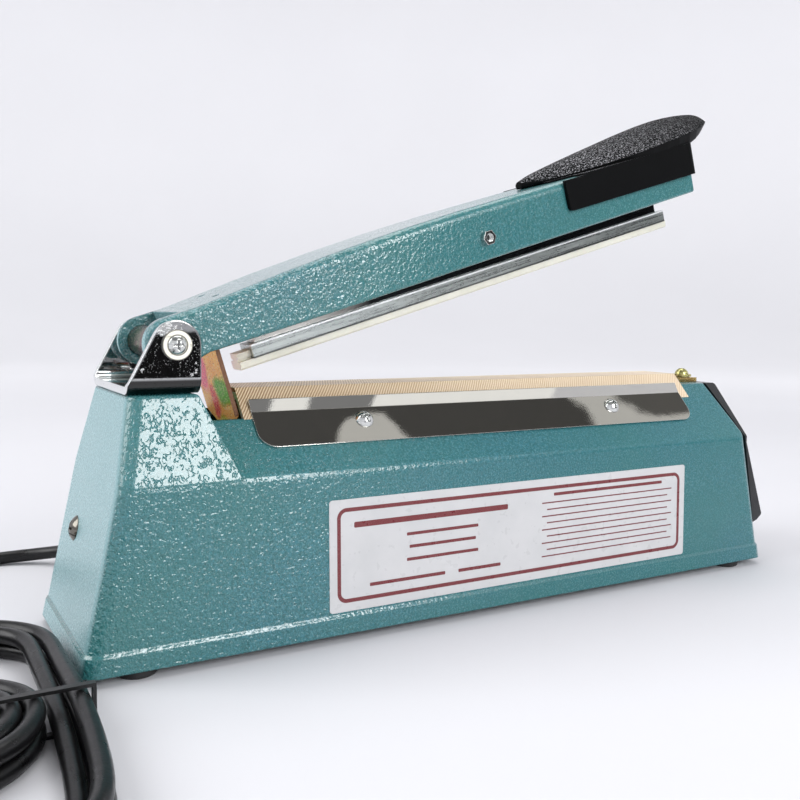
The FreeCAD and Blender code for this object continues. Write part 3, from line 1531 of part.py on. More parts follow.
yF, yN = HY + HL, HY - HL
outline = round_pts(HCX, yF, R1 + SKIN, 0.0, math.pi + PHI, 16)
outline += round_pts(HX - WAIST - R2, HY, R2 - SKIN, PHI, -PHI, 10)[1:-1]
outline += round_pts(HCX, yN, R1 + SKIN, math.pi - PHI, 2 * math.pi, 16)
outline += [sheared(HX + SKIN, yN + (yF - yN) * f) for f in (0.2, 0.45)]
hk = new_body("cord_hank_blank")
s = sketch(hk, "XY_Plane", 0.02)
profile(s, outline)
pad(hk, s, HANK_TOP - 0.02)
xl = HX - 2 * R1
lead_root = box(xl - SKIN, xl + SKIN, yF, yF + 15.0, 0.02, 2 * R + 0.1)
IN_X, IN_Y = sheared(HX - WAIST - R2 + R2 * math.cos(-PHI), HY + R2 * math.sin(-PHI))
TA = 1.5 * math.pi - PHI
tail_root = moved(group(box(-6.0, 14.5, -SKIN, SKIN, 0.02, HANK_TOP - 1.0)), (IN_X, IN_Y, 0.0), (0, 0, 1), math.degrees(TA))
tieHalf = 1.2
tie_out = box(HX - WAIST - SKIN - 1.1, HX + SKIN + 1.1, HY - tieHalf, HY + tieHalf, 0.02, HANK_TOP + 1.1)
tie_in = box(HX - WAIST - SKIN - 0.1, HX + SKIN + 0.1, HY - 3.0, HY + 3.0, 1.0, HANK_TOP + 0.1)
tie = cut(tie_out, tie_in)
part_of(group(tie), "cord_tie", "world")
part_of(group(cut(fuse(hk, lead_root, tail_root), tie)), "cord_hank", "world")

LEAD = [
    (EX.x, EX.y, EX.z),
    (-132.0, 81.5, 13.4),
    (-136.5, 100.0, 8.8),
    (-147.5, 115.0, 4.8),
    (-164.0, 122.5, 2.9),
    (-182.5, 121.8, 2.8),
    (-199.5, 113.5, 2.8),
    (-212.0, 99.5, 2.8),
    (-219.5, 82.0, 2.8),
    (-223.0, 62.0, 2.8),
    (-223.2, 43.0, 2.8),
    (-222.4, 22.0, 2.8),
    (xl, yF + 15.0, 2.8),
]
TAIL = [
    (IN_X + 14.5 * math.cos(TA), IN_Y + 14.5 * math.sin(TA), 7.7),
    (-234.0, -94.6, 4.6),
    (-249.0, -91.0, 2.8),
    (-259.4, -80.4, 3.2),
    (-263.4, -66.0, 5.4),
    (-263.6, -51.0, 8.3),
]


def tube(points, radius, label):
    """Straight runs joined by tangent arcs, swept with a round section."""
    p = [Vector(*q) for q in points]
    edges, radii, length = [], [], 0.0
    start = p[0]
    for i in range(1, len(p) - 1):
        u, v = (p[i] - p[i - 1]), (p[i + 1] - p[i])
        lu, lv = u.Length, v.Length
        u.normalize()
        v.normalize()
        turn = u.getAngle(v)
        cutb = 0.45 * min(lu, lv)
        r = cutb / math.tan(turn / 2)
        radii.append(round(r, 1))
        a1, a2 = p[i] - u * cutb, p[i] + v * cutb
        bis = (v - u).normalize()
        mid = p[i] + bis * (r / math.cos(turn / 2) - r)
        edges.append(Part.LineSegment(start, a1).toShape())
        edges.append(Part.Arc(a1, mid, a2).toShape())
        length += (a1 - start).Length + r * turn
        start = a2
    edges.append(Part.LineSegment(start, p[-1]).toShape())
    length += (p[-1] - start).Length
    wire = Part.Wire(edges)
    d0 = (p[1] - p[0]).normalize()
    sec = Part.Wire([Part.Circle(p[0], d0, radius).toShape()])
    solid = wire.makePipeShell([sec], True, False)
    print(label, "length", round(length, 1), "radii", radii, "volume ratio", round(solid.Volume / (math.pi * radius ** 2 * length), 4))
    f = doc.addObject("Part::Feature", uid("Tube"))
    f.Shape = solid
    return f, length


lead, lead_len = tube(LEAD, R, "cord_lead")
part_of(lead, "cord_lead", "world")
tail, tail_len = tube(TAIL, R, "cord_tail")
part_of(tail, "cord_tail", "world")

# two-blade plug lying beside the hank
PX, PY, PZ = -263.6, -51.0, 8.4
pg = new_body("plug_blank")
s = sketch(pg, "XZ_Plane", -(PY + 12.0))
profile(s, [(PX - 9.0, 0.02), (PX + 9.0, 0.02), (PX + 12.5, 3.6), (PX + 12.5, 13.2), (PX + 9.0, 16.8), (PX - 9.0, 16.8), (PX - 12.5, 13.2), (PX - 12.5, 3.6)])
pad(pg, s, 34.0, reverse=True)
fillet(pg, 2.0, lambda a, b, m: near(m.y, PY + 46.0, 0.01))
blades = [box(PX + d - 0.75, PX + d + 0.75, PY + 42.0, PY + 62.5, PZ - 3.15, PZ + 3.15) for d in (-6.35, 6.35)]
plug = fuse(pg, cone((PX, PY, PZ), (0, 1, 0), R + 0.3, 6.2, 13.0))
part_of(group(cut(plug, *blades)), "power_plug", "world")
part_of(group(*[box(PX + d - 0.74, PX + d + 0.74, PY + 42.1, PY + 62.5, PZ - 3.14, PZ + 3.14) for d in (-6.35, 6.35)]), "plug_blades", "world")

# ---- write --------------------------------------------------------------
doc.recompute()
bad = [o.Name + " " + o.Label for o in doc.Objects if "Invalid" in o.State or "Error" in o.State]
if bad:
    for o in doc.Objects:
        if "Invalid" in o.State or "Error" in o.State:
            print("failed:", o.Name, o.Label, "of", [q.Name for q in o.OutList], "used by", [q.Label for q in o.InListRecursive][-3:])
    raise RuntimeError("failed objects: %s" % bad)
os.makedirs("parts", exist_ok=True)
for old in os.listdir("parts"):
    if old.endswith(".step"):
        os.remove(os.path.join("parts", old))
lo, hi = [1e9] * 3, [-1e9] * 3
for label, obj in parts:
    sh = obj.Shape
    if sh.isNull() or not sh.isValid() or sh.Volume <= 0:
        raise RuntimeError("sub-part %s has no valid shape" % label)
    bb = sh.optimalBoundingBox(False)
    if not label.startswith("cord") and label not in ("strain_relief", "power_plug", "plug_blades"):
        for i, (x, y) in enumerate(((bb.XMin, bb.XMax), (bb.YMin, bb.YMax), (bb.ZMin, bb.ZMax))):
            lo[i], hi[i] = min(lo[i], x), max(hi[i], y)
    sh.exportStep(os.path.join("parts", label + ".step"))
    print("%-22s solids %2d  vol %10.1f  x %7.1f %7.1f  y %6.1f %6.1f  z %6.1f %6.1f" % (label, len(sh.Solids), sh.Volume, bb.XMin, bb.XMax, bb.YMin, bb.YMax, bb.ZMin, bb.ZMax))
print("parts", len(parts), "box", [round(v, 2) for v in lo], [round(v, 2) for v in hi], "centre x", round((lo[0] + hi[0]) / 2, 3))
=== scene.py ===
import math

import bpy
from mathutils import Matrix, Vector


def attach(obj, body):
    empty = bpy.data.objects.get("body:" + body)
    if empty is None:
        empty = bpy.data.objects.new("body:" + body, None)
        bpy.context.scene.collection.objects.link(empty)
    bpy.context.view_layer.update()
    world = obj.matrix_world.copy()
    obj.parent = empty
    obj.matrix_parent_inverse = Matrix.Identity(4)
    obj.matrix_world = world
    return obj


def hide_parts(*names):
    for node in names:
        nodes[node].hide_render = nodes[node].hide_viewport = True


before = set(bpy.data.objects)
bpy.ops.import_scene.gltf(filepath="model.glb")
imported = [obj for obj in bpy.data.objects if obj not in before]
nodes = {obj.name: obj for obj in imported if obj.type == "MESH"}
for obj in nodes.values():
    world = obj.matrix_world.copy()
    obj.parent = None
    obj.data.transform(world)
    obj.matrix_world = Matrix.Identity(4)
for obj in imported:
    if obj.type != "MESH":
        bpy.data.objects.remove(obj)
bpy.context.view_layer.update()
scene = bpy.context.scene
MM = 0.001

# ---------------------------------------------------------------- camera
yaw, pitch, roll = (math.radians(a) for a in (30.22, 5.6, 0.77))
fwd = Vector((math.sin(yaw) * math.cos(pitch), math.cos(yaw) * math.cos(pitch), -math.sin(pitch)))
right = Vector((math.cos(yaw), -math.sin(yaw), 0.0))
up = right.cross(fwd)
r2 = right * math.cos(roll) + up * math.sin(roll)
u2 = up * math.cos(roll) - right * math.sin(roll)
cam_data = bpy.data.cameras.new("main_camera")
cam = bpy.data.objects.new("main_camera", cam_data)
scene.collection.objects.link(cam)
cam.matrix_world = Matrix((
    (r2.x, u2.x, -fwd.x, -0.21314),
    (r2.y, u2.y, -fwd.y, -0.31586),
    (r2.z, u2.z, -fwd.z, 0.11673),
    (0, 0, 0, 1),
))
cam_data.sensor_width = 36.0
cam_data.lens = 40.90
cam_data.clip_start = 0.01
cam_data.clip_end = 50.0
scene.camera = cam

# ---------------------------------------------------------------- the mains cord
# Control points in millimetres: out of the gland, down to the floor, round the
# hinge end, three and a third turns of a tied hank, and up to the plug.
LEAD = [
    (-131.7, 62.0, 16.0), (-132.0, 81.5, 13.4), (-136.5, 100.0, 8.8), (-147.5, 115.0, 4.8),
    (-164.0, 122.5, 2.9), (-182.5, 121.8, 2.8), (-199.5, 113.5, 2.8), (-212.0, 99.5, 2.8),
    (-219.5, 82.0, 2.8), (-223.0, 62.0, 2.8), (-223.2, 43.0, 2.8), (-222.4, 22.0, 2.8), (-222.6, 8.0, 2.8),
    (-222.8, -4.0, 2.8), (-222.8, -13.0, 2.8),
]
HANK = [
    (-222.8, -21.7, 2.8), (-217.4, -33.2, 2.8), (-207.6, -41.1, 2.9), (-196.6, -43.8, 3.0), (-189.0, -50.1, 3.3),
    (-184.7, -59.0, 3.7), (-184.7, -69.0, 3.7), (-189.3, -77.9, 3.3), (-197.3, -84.2, 3.0), (-208.4, -86.9, 2.9),
    (-218.9, -94.8, 2.8), (-225.7, -106.3, 2.8), (-227.5, -118.1, 2.8), (-225.2, -128.4, 2.8), (-219.0, -136.3, 2.8),
    (-209.7, -140.6, 2.8), (-198.6, -140.6, 2.8), (-187.3, -136.3, 2.8), (-177.7, -128.4, 2.8), (-171.5, -118.1, 2.8),
    (-168.5, -96.4, 2.8), (-167.3, -64.0, 3.8), (-168.5, -31.6, 2.8), (-169.3, -12.0, 2.8), (-173.1, -2.8, 2.8),
    (-180.0, 4.1, 2.8), (-188.8, 7.8, 2.8), (-198.2, 7.8, 2.8), (-206.8, 4.2, 2.8), (-213.4, -2.3, 2.8),
    (-216.9, -10.8, 2.8), (-216.9, -20.4, 2.8), (-212.6, -29.4, 2.8), (-204.9, -35.7, 2.8), (-194.0, -38.4, 2.9),
    (-184.2, -46.3, 3.1), (-178.8, -57.7, 3.7), (-178.9, -70.3, 3.7), (-184.7, -81.7, 3.1), (-195.0, -89.6, 2.9),
    (-206.2, -92.3, 2.8), (-214.5, -98.6, 2.8), (-219.9, -107.6, 2.8), (-221.4, -117.0, 2.8), (-219.5, -125.1, 2.8),
    (-214.6, -131.3, 2.8), (-207.2, -134.7, 2.8), (-198.4, -134.7, 2.8), (-189.5, -131.3, 2.8), (-182.0, -125.1, 2.8),
    (-177.2, -117.0, 2.8), (-174.4, -96.4, 3.6), (-172.7, -64.0, 6.7), (-172.7, -31.6, 7.9), (-172.7, -11.0, 8.6),
    (-176.1, -2.9, 8.6), (-182.3, 3.3, 8.6), (-190.4, 6.7, 8.6), (-199.2, 6.7, 8.6), (-207.3, 3.3, 8.6),
    (-213.5, -2.9, 8.6), (-216.9, -11.0, 8.6), (-216.9, -20.4, 8.6), (-212.6, -29.4, 8.6), (-204.9, -35.7, 8.6),
    (-194.0, -38.4, 8.7), (-184.2, -46.3, 8.9), (-178.8, -57.7, 9.5), (-178.9, -70.3, 9.5), (-184.7, -81.7, 8.9),
    (-195.0, -89.6, 8.7), (-206.2, -92.3, 8.6), (-215.1, -99.0, 8.6), (-220.9, -108.6, 8.6), (-222.5, -118.5, 8.6),
    (-220.5, -127.3, 8.6), (-215.1, -134.1, 8.6), (-206.9, -137.9, 8.6), (-196.8, -137.9, 8.6), (-186.5, -134.0, 8.6),
    (-177.6, -126.6, 8.6), (-171.8, -116.9, 8.6), (-168.7, -96.4, 8.6), (-166.8, -64.0, 9.6), (-166.8, -31.6, 8.6),
    (-166.8, -9.9, 8.6), (-171.1, 0.4, 8.6), (-178.9, 8.3, 8.6), (-189.2, 12.6, 8.6), (-200.4, 12.6, 8.6),
    (-210.7, 8.3, 8.6), (-218.5, 0.4, 8.6), (-222.8, -9.9, 8.6), (-222.8, -21.7, 8.6), (-217.4, -33.2, 8.6),
    (-207.6, -41.1, 8.7), (-196.6, -43.8, 8.8), (-189.0, -50.1, 9.1), (-184.7, -59.0, 9.5), (-184.7, -69.0, 9.5),
    (-189.3, -77.9, 9.1), (-197.3, -84.2, 8.8),
]
TAIL = [
    (-208.0, -86.8, 8.6), (-219.0, -89.6, 7.1), (-234.0, -94.6, 4.6), (-249.0, -91.0, 2.8),
    (-259.4, -80.4, 3.2), (-263.4, -66.0, 5.4), (-263.6, -52.0, 8.3),
]
ROUTE = LEAD + HANK + TAIL
CORD_D = 5.5 * MM


def nurbs(name, points, depth, resolution=6, material=None):
    cu = bpy.data.curves.new(name, "CURVE")
    cu.dimensions = "3D"
    cu.resolution_u = resolution
    cu.bevel_depth = depth
    cu.bevel_resolution = 6
    cu.use_fill_caps = True
    sp = cu.splines.new("NURBS")
    sp.points.add(len(points) - 1)
    for p, q in zip(sp.points, points):
        p.co = (q[0] * MM, q[1] * MM, q[2] * MM, 1.0)
    sp.order_u = 3
    sp.use_endpoint_u = True
    sp.use_smooth = True
    ob = bpy.data.objects.new(name, cu)
    scene.collection.objects.link(ob)
    if material:
        cu.materials.append(material)
    return ob

# ---------------------------------------------------------------- materials
class Tree:
    """Short names for building one material's nodes."""

    def __init__(self, name):
        self.m = bpy.data.materials.new(name)
        self.m.use_nodes = True
        self.t = self.m.node_tree
        self.t.nodes.clear()
        self.out = self.t.nodes.new("ShaderNodeOutputMaterial")
        self.b = self.t.nodes.new("ShaderNodeBsdfPrincipled")
        self.t.links.new(self.b.outputs[0], self.out.inputs[0])
        self.co = self.t.nodes.new("ShaderNodeTexCoord").outputs["Object"]

    def n(self, kind, **props):
        nd = self.t.nodes.new("ShaderNode" + kind)
        for k, v in props.items():
            setattr(nd, k, v)
        return nd

    def put(self, socket, value):
        if isinstance(value, bpy.types.NodeSocket):
            self.t.links.new(value, socket)
        else:
            socket.default_value = value

    def set(self, **kw):
        for k, v in kw.items():
            self.put(self.b.inputs[k.replace("_", " ")], v)
        return self

    def math(self, op, a, b=0.0, c=0.0, clamp=False):
        nd = self.n("Math", operation=op, use_clamp=clamp)
        for s, v in zip(nd.inputs, (a, b, c)):
            self.put(s, v)
        return nd.outputs[0]

    def vec(self, op, a, b=(0, 0, 0), scale=None):
        nd = self.n("VectorMath", operation=op)
        self.put(nd.inputs[0], a)
        self.put(nd.inputs[1], b)
        if scale is not None:
            self.put(nd.inputs["Scale"], scale)
        return nd.outputs["Value"] if op in ("DOT_PRODUCT", "LENGTH", "DISTANCE") else nd.outputs["Vector"]

    def xyz(self, v):
        nd = self.n("SeparateXYZ")
        self.put(nd.inputs[0], v)
        return nd.outputs

    def comb(self, x=0.0, y=0.0, z=0.0):
        nd = self.n("CombineXYZ")
        for s, v in zip(nd.inputs, (x, y, z)):
            self.put(s, v)
        return nd.outputs[0]

    def noise(self, scale, detail=2.0, rough=0.5, co=None, distortion=0.0, w=None):
        nd = self.n("TexNoise")
        if w is not None:
            nd.noise_dimensions = "4D"
            nd.inputs["W"].default_value = w
        self.put(nd.inputs["Vector"], co or self.co)
        nd.inputs["Scale"].default_value = scale
        nd.inputs["Detail"].default_value = detail
        nd.inputs["Roughness"].default_value = rough
        nd.inputs["Distortion"].default_value = distortion
        return nd.outputs[0]

    def voronoi(self, scale, feature="F1", co=None, smooth=0.5, rand=1.0, out="Distance"):
        nd = self.n("TexVoronoi", feature=feature)
        self.put(nd.inputs["Vector"], co or self.co)
        nd.inputs["Scale"].default_value = scale
        nd.inputs["Randomness"].default_value = rand
        if feature == "SMOOTH_F1":
            nd.inputs["Smoothness"].default_value = smooth
        return nd.outputs[out]

    def ramp(self, fac, *stops, mode="LINEAR"):
        nd = self.n("ValToRGB")
        nd.color_ramp.interpolation = mode
        el = nd.color_ramp.elements
        while len(el) < len(stops):
            el.new(0.5)
        for e, (p, c) in zip(el, stops):
            e.position = p
            e.color = (*c, 1) if len(c) == 3 else c
        self.put(nd.inputs[0], fac)
        return nd.outputs[0]

    def step(self, v, lo, hi):
        nd = self.n("MapRange", interpolation_type="SMOOTHSTEP")
        self.put(nd.inputs["Value"], v)
        self.put(nd.inputs["From Min"], lo)
        self.put(nd.inputs["From Max"], hi)
        return nd.outputs[0]

    def remap(self, v, a, b, c, d):
        nd = self.n("MapRange")
        for s, x in zip(nd.inputs, (v, a, b, c, d)):
            self.put(s, x)
        return nd.outputs[0]

    def mix(self, fac, a, b, blend="MIX"):
        nd = self.n("Mix", data_type="RGBA", blend_type=blend)
        self.put(nd.inputs[0], fac)
        self.put(nd.inputs[6], a)
        self.put(nd.inputs[7], b)
        return nd.outputs[2]

    def edge(self, radius):
        """A normal that rounds the hard edges by a small radius."""
        nd = self.n("Bevel")
        nd.samples = 6
        nd.inputs["Radius"].default_value = radius
        return nd.outputs[0]

    def bump(self, height, distance, strength=1.0, normal=None):
        nd = self.n("Bump")
        nd.inputs["Strength"].default_value = strength
        nd.inputs["Distance"].default_value = distance
        self.put(nd.inputs["Height"], height)
        if normal is not None:
            self.put(nd.inputs["Normal"], normal)
        return nd.outputs[0]


def lin(r, g, b):
    f = lambda c: c / 12.92 if c <= 0.04045 else ((c + 0.055) / 1.055) ** 2.4
    return (f(r / 255), f(g / 255), f(b / 255))


def rgba(*c):
    return (*lin(*c), 1.0)


def fine_wear(t, lo, hi, scale=900.0):
    """Roughness that varies a little, as handled or rubbed surfaces do."""
    big = t.noise(scale * 0.06, 3.0, 0.6)
    return t.remap(big, 0.3, 0.7, lo, hi)


# teal hammertone stove enamel
def teal():
    """Hammertone: fine rounded grain; short wrinkles where the film ran thick, by the hinge."""
    t = Tree("teal_hammertone")
    x, y, z = t.xyz(t.co)
    warp = t.vec("ADD", t.co, t.vec("SCALE", t.n_noise_vec(420.0), scale=0.0010))
    worm = t.noise(620.0, 1.0, 0.5, t.vec("MULTIPLY", warp, (1.25, 1.0, 0.8)))
    line = t.remap(t.math("ABSOLUTE", t.math("SUBTRACT", worm, 0.5)), 0.0, 0.075, 0.0, 1.0)
    gap = t.step(t.noise(420.0, 1.0, 0.5, w=2.0), 0.42, 0.54)
    line = t.math("SUBTRACT", 1.0, t.math("MULTIPLY", t.math("SUBTRACT", 1.0, line), gap))
    where = t.math("MULTIPLY", t.step(z, 0.0585, 0.0615), t.math("SUBTRACT", 1.0, t.step(x, -0.085, -0.030)))
    line = t.math("MULTIPLY", line, t.remap(where, 0.0, 1.0, 0.0, 0.50))
    grain = t.noise(820.0, 1.0, 0.5, warp)
    left = t.math("SUBTRACT", 1.0, t.step(x, -0.11, 0.0))
    tower = t.math("MULTIPLY", where, t.math("SUBTRACT", 1.0, t.step(z, 0.0885, 0.0900)))
    fine = t.noise(1500.0, 2.0, 0.55)
    h = t.math("ADD", t.math("MULTIPLY", grain, t.math("MAXIMUM", 0.08, t.math("SUBTRACT", t.remap(left, 0.0, 1.0, 0.70, 2.3), t.math("MULTIPLY", tower, 3.0)))), t.math("MULTIPLY", fine, t.remap(tower, 0.0, 1.0, 0.30, 0.10)))
    h = t.math("ADD", h, line)
    nrm = t.xyz(t.t.nodes.new("ShaderNodeTexCoord").outputs["Normal"])
    nx = t.math("ABSOLUTE", nrm[0])
    end = t.step(nx, 0.80, 0.96)
    ledge = t.math("MULTIPLY", t.step(nrm[2], 0.22, 0.42), t.math("SUBTRACT", 1.0, t.step(z, 0.030, 0.034)))
    corner = t.math("MULTIPLY", t.step(nx, 0.20, 0.32), t.math("SUBTRACT", 1.0, t.step(nx, 0.66, 0.80)))
    h = t.math("MULTIPLY", h, t.math("SUBTRACT", 1.0, t.math("MULTIPLY", ledge, t.math("MULTIPLY", left, 0.75))))
    calm = t.math("MULTIPLY", t.remap(t.step(nx, 0.80, 0.96), 0.0, 1.0, 1.0, 0.22), t.remap(x, -0.02, 0.06, 1.0, 0.72))
    h = t.math("MULTIPLY", h, calm)
    flake = t.noise(1500.0, 2.0, 0.7)
    hue = t.noise(1000.0, 3.0, 0.65)
    tone = t.ramp(hue, (0.34, lin(35, 92, 94)), (0.5, lin(48, 107, 112)), (0.66, lin(61, 121, 133)))
    tone = t.mix(t.step(flake, 0.54, 0.70), tone, rgba(84, 139, 145))
    tone = t.mix(t.remap(t.noise(14.0, 2.0, 0.5), 0.35, 0.65, 0.0, 0.6), tone, rgba(50, 112, 107))
    # painted light: the end faces are painted a paler teal
    tone = t.mix(end, tone, rgba(130, 170, 174))
    # painted shade: the enamel is darkened a little everywhere, more on the lower part toward the free end
    low_right_painted_shade = t.math("MULTIPLY", t.math("SUBTRACT", 1.0, t.step(z, 0.078, 0.090)), t.step(x, -0.09, 0.05))
    tone = t.mix(t.remap(low_right_painted_shade, 0.0, 1.0, 0.06, 0.22), tone, rgba(24, 86, 106))
    arm = t.math("MULTIPLY", t.step(z, 0.094, 0.100), t.math("SUBTRACT", 1.0, t.step(x, -0.05, 0.03)))
    arm = t.math("MULTIPLY", arm, t.step(t.math("ABSOLUTE", nrm[1]), 0.5, 0.8))
    coat = t.math("MAXIMUM", t.remap(low_right_painted_shade, 0.0, 1.0, 0.65, 0.18), t.math("MAXIMUM", t.math("MAXIMUM", ledge, corner), arm))
    coat = t.math("MULTIPLY", coat, t.remap(end, 0.0, 1.0, 1.0, 0.35))
    t.set(Base_Color=tone, Roughness=t.remap(fine, 0.3, 0.7, 0.20, 0.32), Coat_Weight=coat, Coat_Roughness=t.math("MAXIMUM", t.remap(x, -0.04, 0.04, 0.04, 0.34), t.math("MULTIPLY", end, 0.40)))
    soft = t.edge(0.0007)
    t.set(Normal=t.bump(h, 0.00024, normal=soft), Coat_Normal=t.bump(h, 0.00024, normal=soft))
    return t.m


def noise_vec(self, scale):
    nd = self.n("TexNoise")
    self.put(nd.inputs["Vector"], self.co)
    nd.inputs["Scale"].default_value = scale
    nd.inputs["Detail"].default_value = 1.0
    return self.vec("SUBTRACT", nd.outputs["Color"], (0.5, 0.5, 0.5))


Tree.n_noise_vec = noise_vec


def chrome(name="chrome_plate", colour=(222, 224, 226), r0=0.03, r1=0.10, wave=0.00006, pits=True, edge=0.0006):
    t = Tree(name)
    speck = t.noise(1300.0, 3.0, 0.7)
    patch = t.noise(70.0, 3.0, 0.6)
    col = t.mix(t.step(speck, 0.60, 0.72), rgba(*colour), rgba(colour[0] - 60, colour[1] - 60, colour[2] - 58)) if pits else rgba(*colour)
    if not pits:
        col = t.mix(t.remap(patch, 0.3, 0.7, 0.0, 0.4), col, rgba(colour[0] - 12, colour[1] - 10, colour[2] - 8))
    t.set(Base_Color=col, Metallic=1.0, Roughness=t.remap(patch, 0.3, 0.7, r0, r1))
    h = t.math("ADD", t.math("MULTIPLY", t.noise(55.0, 2.0, 0.5), 1.0), t.math("MULTIPLY", speck, 0.10))
    t.set(Normal=t.bump(h, wave, normal=t.edge(edge)))
    return t.m


def bracket_plating():
    """Bright plating over a sheet that was left a little rough: mottled, with painted shade in the downward bends and
    on the faces looking front and back.
    """
    t = Tree("bracket_chrome")
    x, y, z = t.xyz(t.co)
    nz = t.xyz(t.t.nodes.new("ShaderNodeTexCoord").outputs["Normal"])[2]
    speck = t.noise(1700.0, 3.0, 0.7)
    patch = t.noise(150.0, 3.0, 0.6)
    high = t.remap(z, 0.098, 0.113, 0.0, 0.17)
    rough_ = t.step(t.math("ADD", t.math("ADD", patch, high), t.math("MULTIPLY", speck, 0.20)), 0.77, 0.85)
    fleck = t.math("MULTIPLY", t.step(speck, 0.63, 0.70), t.step(patch, 0.44, 0.52))
    col = t.mix(t.step(speck, 0.60, 0.72), rgba(226, 228, 228), rgba(140, 140, 138))
    # painted shade: faces turning downward, in the bends, are painted near black
    bend_painted_shade = t.step(t.math("MULTIPLY", nz, -1.0), 0.03, 0.20)
    col = t.mix(t.math("MULTIPLY", bend_painted_shade, 0.94), col, rgba(30, 29, 28))
    # painted shade: faces looking straight front or back are painted darker grey
    ny = t.math("ABSOLUTE", t.xyz(t.t.nodes.new("ShaderNodeTexCoord").outputs["Normal"])[1])
    col = t.mix(t.math("MULTIPLY", t.step(ny, 0.90, 0.97), 0.45), col, rgba(58, 57, 56))
    t.set(Base_Color=col, Metallic=1.0, Roughness=t.remap(rough_, 0.0, 1.0, 0.03, 0.22))
    h = t.math("ADD", t.noise(60.0, 2.0, 0.5), t.math("MULTIPLY", t.math("MULTIPLY", speck, t.math("MAXIMUM", rough_, fleck)), 1.3))
    t.set(Normal=t.bump(h, 0.00004, normal=t.edge(0.0007)))
    return t.m


def satin_plating(name, colour, r0, r1):
    """Pale satin plating of the washers, dull, with painted shade as dark rings at the rim and round the screw."""
    t = Tree(name)
    x, y, z = t.xyz(t.co)
    dx, dz = t.math("ADD", x, 0.1278), t.math("SUBTRACT", z, 0.1048)
    rad = t.math("SQRT", t.math("ADD", t.math("MULTIPLY", dx, dx), t.math("MULTIPLY", dz, dz)))
    g = t.noise(1600.0, 3.0, 0.65)
    patch = t.noise(300.0, 3.0, 0.6)
    dk = tuple(max(0, c - 60) for c in colour)
    col = t.mix(t.step(patch, 0.56, 0.68), rgba(*colour), rgba(*dk))
    # painted shade: dark rings at the washer's rim and round the screw head
    rim_and_hole_painted_shade = t.math("MAXIMUM", t.math("SUBTRACT", 1.0, t.step(rad, 0.0033, 0.0036)), t.step(rad, 0.00455, 0.00480))
    col = t.mix(t.math("MULTIPLY", rim_and_hole_painted_shade, 0.85), col, rgba(60, 58, 52))
    t.set(Base_Color=col, Metallic=0.55, Roughness=t.remap(g, 0.3, 0.7, r0, r1), Normal=t.bump(g, 0.00005, normal=t.edge(0.0004)))
    return t.m


def press_bar():
    """Satin channel with drawn scratches, with a painted highlight along its top edge and painted shade at its bottom;
    the web above it is polished steel whose colour is a painted reflection, pale at the hinge end and near black
    beyond.
    """
    t = Tree("press_bar_metal")
    x, y, z = t.xyz(t.co)
    a = math.radians(16.8)
    along = t.math("ADD", t.math("MULTIPLY", x, math.cos(a)), t.math("MULTIPLY", z, math.sin(a)))
    across = t.math("SUBTRACT", t.math("MULTIPLY", z, math.cos(a)), t.math("MULTIPLY", x, math.sin(a)))
    co = t.comb(along, t.math("MULTIPLY", y, 30.0), t.math("MULTIPLY", across, 30.0))
    line = t.noise(45.0, 3.0, 0.6, co)
    scuff = t.noise(420.0, 3.0, 0.65)
    a = math.radians(16.8)
    up_ = t.math("SUBTRACT", t.math("MULTIPLY", t.math("SUBTRACT", z, 0.1048), math.cos(a)), t.math("MULTIPLY", t.math("SUBTRACT", x, -0.1278), math.sin(a)))
    web = t.step(up_, 0.0914 - 0.1018 + 0.0001, 0.0914 - 0.1018 + 0.0003)
    # painted highlight: a near-white line along the upper edge of the channel's outer faces, with less metal there
    rim = t.math("MULTIPLY", t.step(up_, 0.0914 - 0.1018 - 0.0009, 0.0914 - 0.1018 - 0.0005), t.step(t.math("ABSOLUTE", y), 0.0048, 0.0052))
    # painted shade: the bottom of the channel is painted dark grey
    toe_painted_shade = t.math("SUBTRACT", 1.0, t.step(up_, 0.0863 - 0.1018 + 0.0004, 0.0863 - 0.1018 + 0.0009))
    col = t.mix(t.remap(line, 0.3, 0.7, 0.0, 1.0), rgba(160, 166, 165), rgba(184, 190, 188))
    col = t.mix(t.step(scuff, 0.60, 0.70), col, rgba(150, 156, 154))
    # painted reflection: the web's colour runs from pale at the hinge end to near black beyond
    dark = t.mix(t.remap(x, -0.075, -0.045, 0.0, 1.0), rgba(206, 204, 200), rgba(26, 28, 31))
    # painted shade at the channel's bottom
    col = t.mix(t.math("MULTIPLY", toe_painted_shade, 0.8), col, rgba(60, 62, 62))
    # painted highlight line along the channel's upper edge
    col = t.mix(t.math("MULTIPLY", rim, t.math("SUBTRACT", 1.0, web)), col, rgba(246, 248, 250))
    col = t.mix(web, col, dark)
    rough = t.remap(t.math("ADD", line, t.math("MULTIPLY", scuff, 0.4)), 0.45, 0.95, 0.22, 0.36)
    metal = t.math("SUBTRACT", 0.92, t.math("MULTIPLY", rim, 0.6))
    t.set(Base_Color=col, Metallic=metal, Roughness=rough, Normal=t.bump(line, 0.000012, normal=t.edge(0.0006)))
    return t.m


def brushed(name, colour, axis, r0=0.22, r1=0.38, stretch=60.0, depth=0.00002):
    t = Tree(name)
    sc = [1.0, 1.0, 1.0]
    for i in range(3):
        sc[i] = 1.0 if i == axis else stretch
    co = t.vec("MULTIPLY", t.co, tuple(sc))
    line = t.noise(45.0, 3.0, 0.6, co)
    blot = t.noise(120.0, 2.0, 0.5)
    dk = tuple(max(0, c - 26) for c in colour)
    col = t.mix(t.remap(line, 0.3, 0.7, 0.0, 1.0), rgba(*dk), rgba(*colour))
    t.set(Base_Color=col, Metallic=1.0, Roughness=t.remap(t.math("ADD", line, t.math("MULTIPLY", blot, 0.4)), 0.45, 0.95, r0, r1))
    t.set(Normal=t.bump(line, depth))
    return t.m


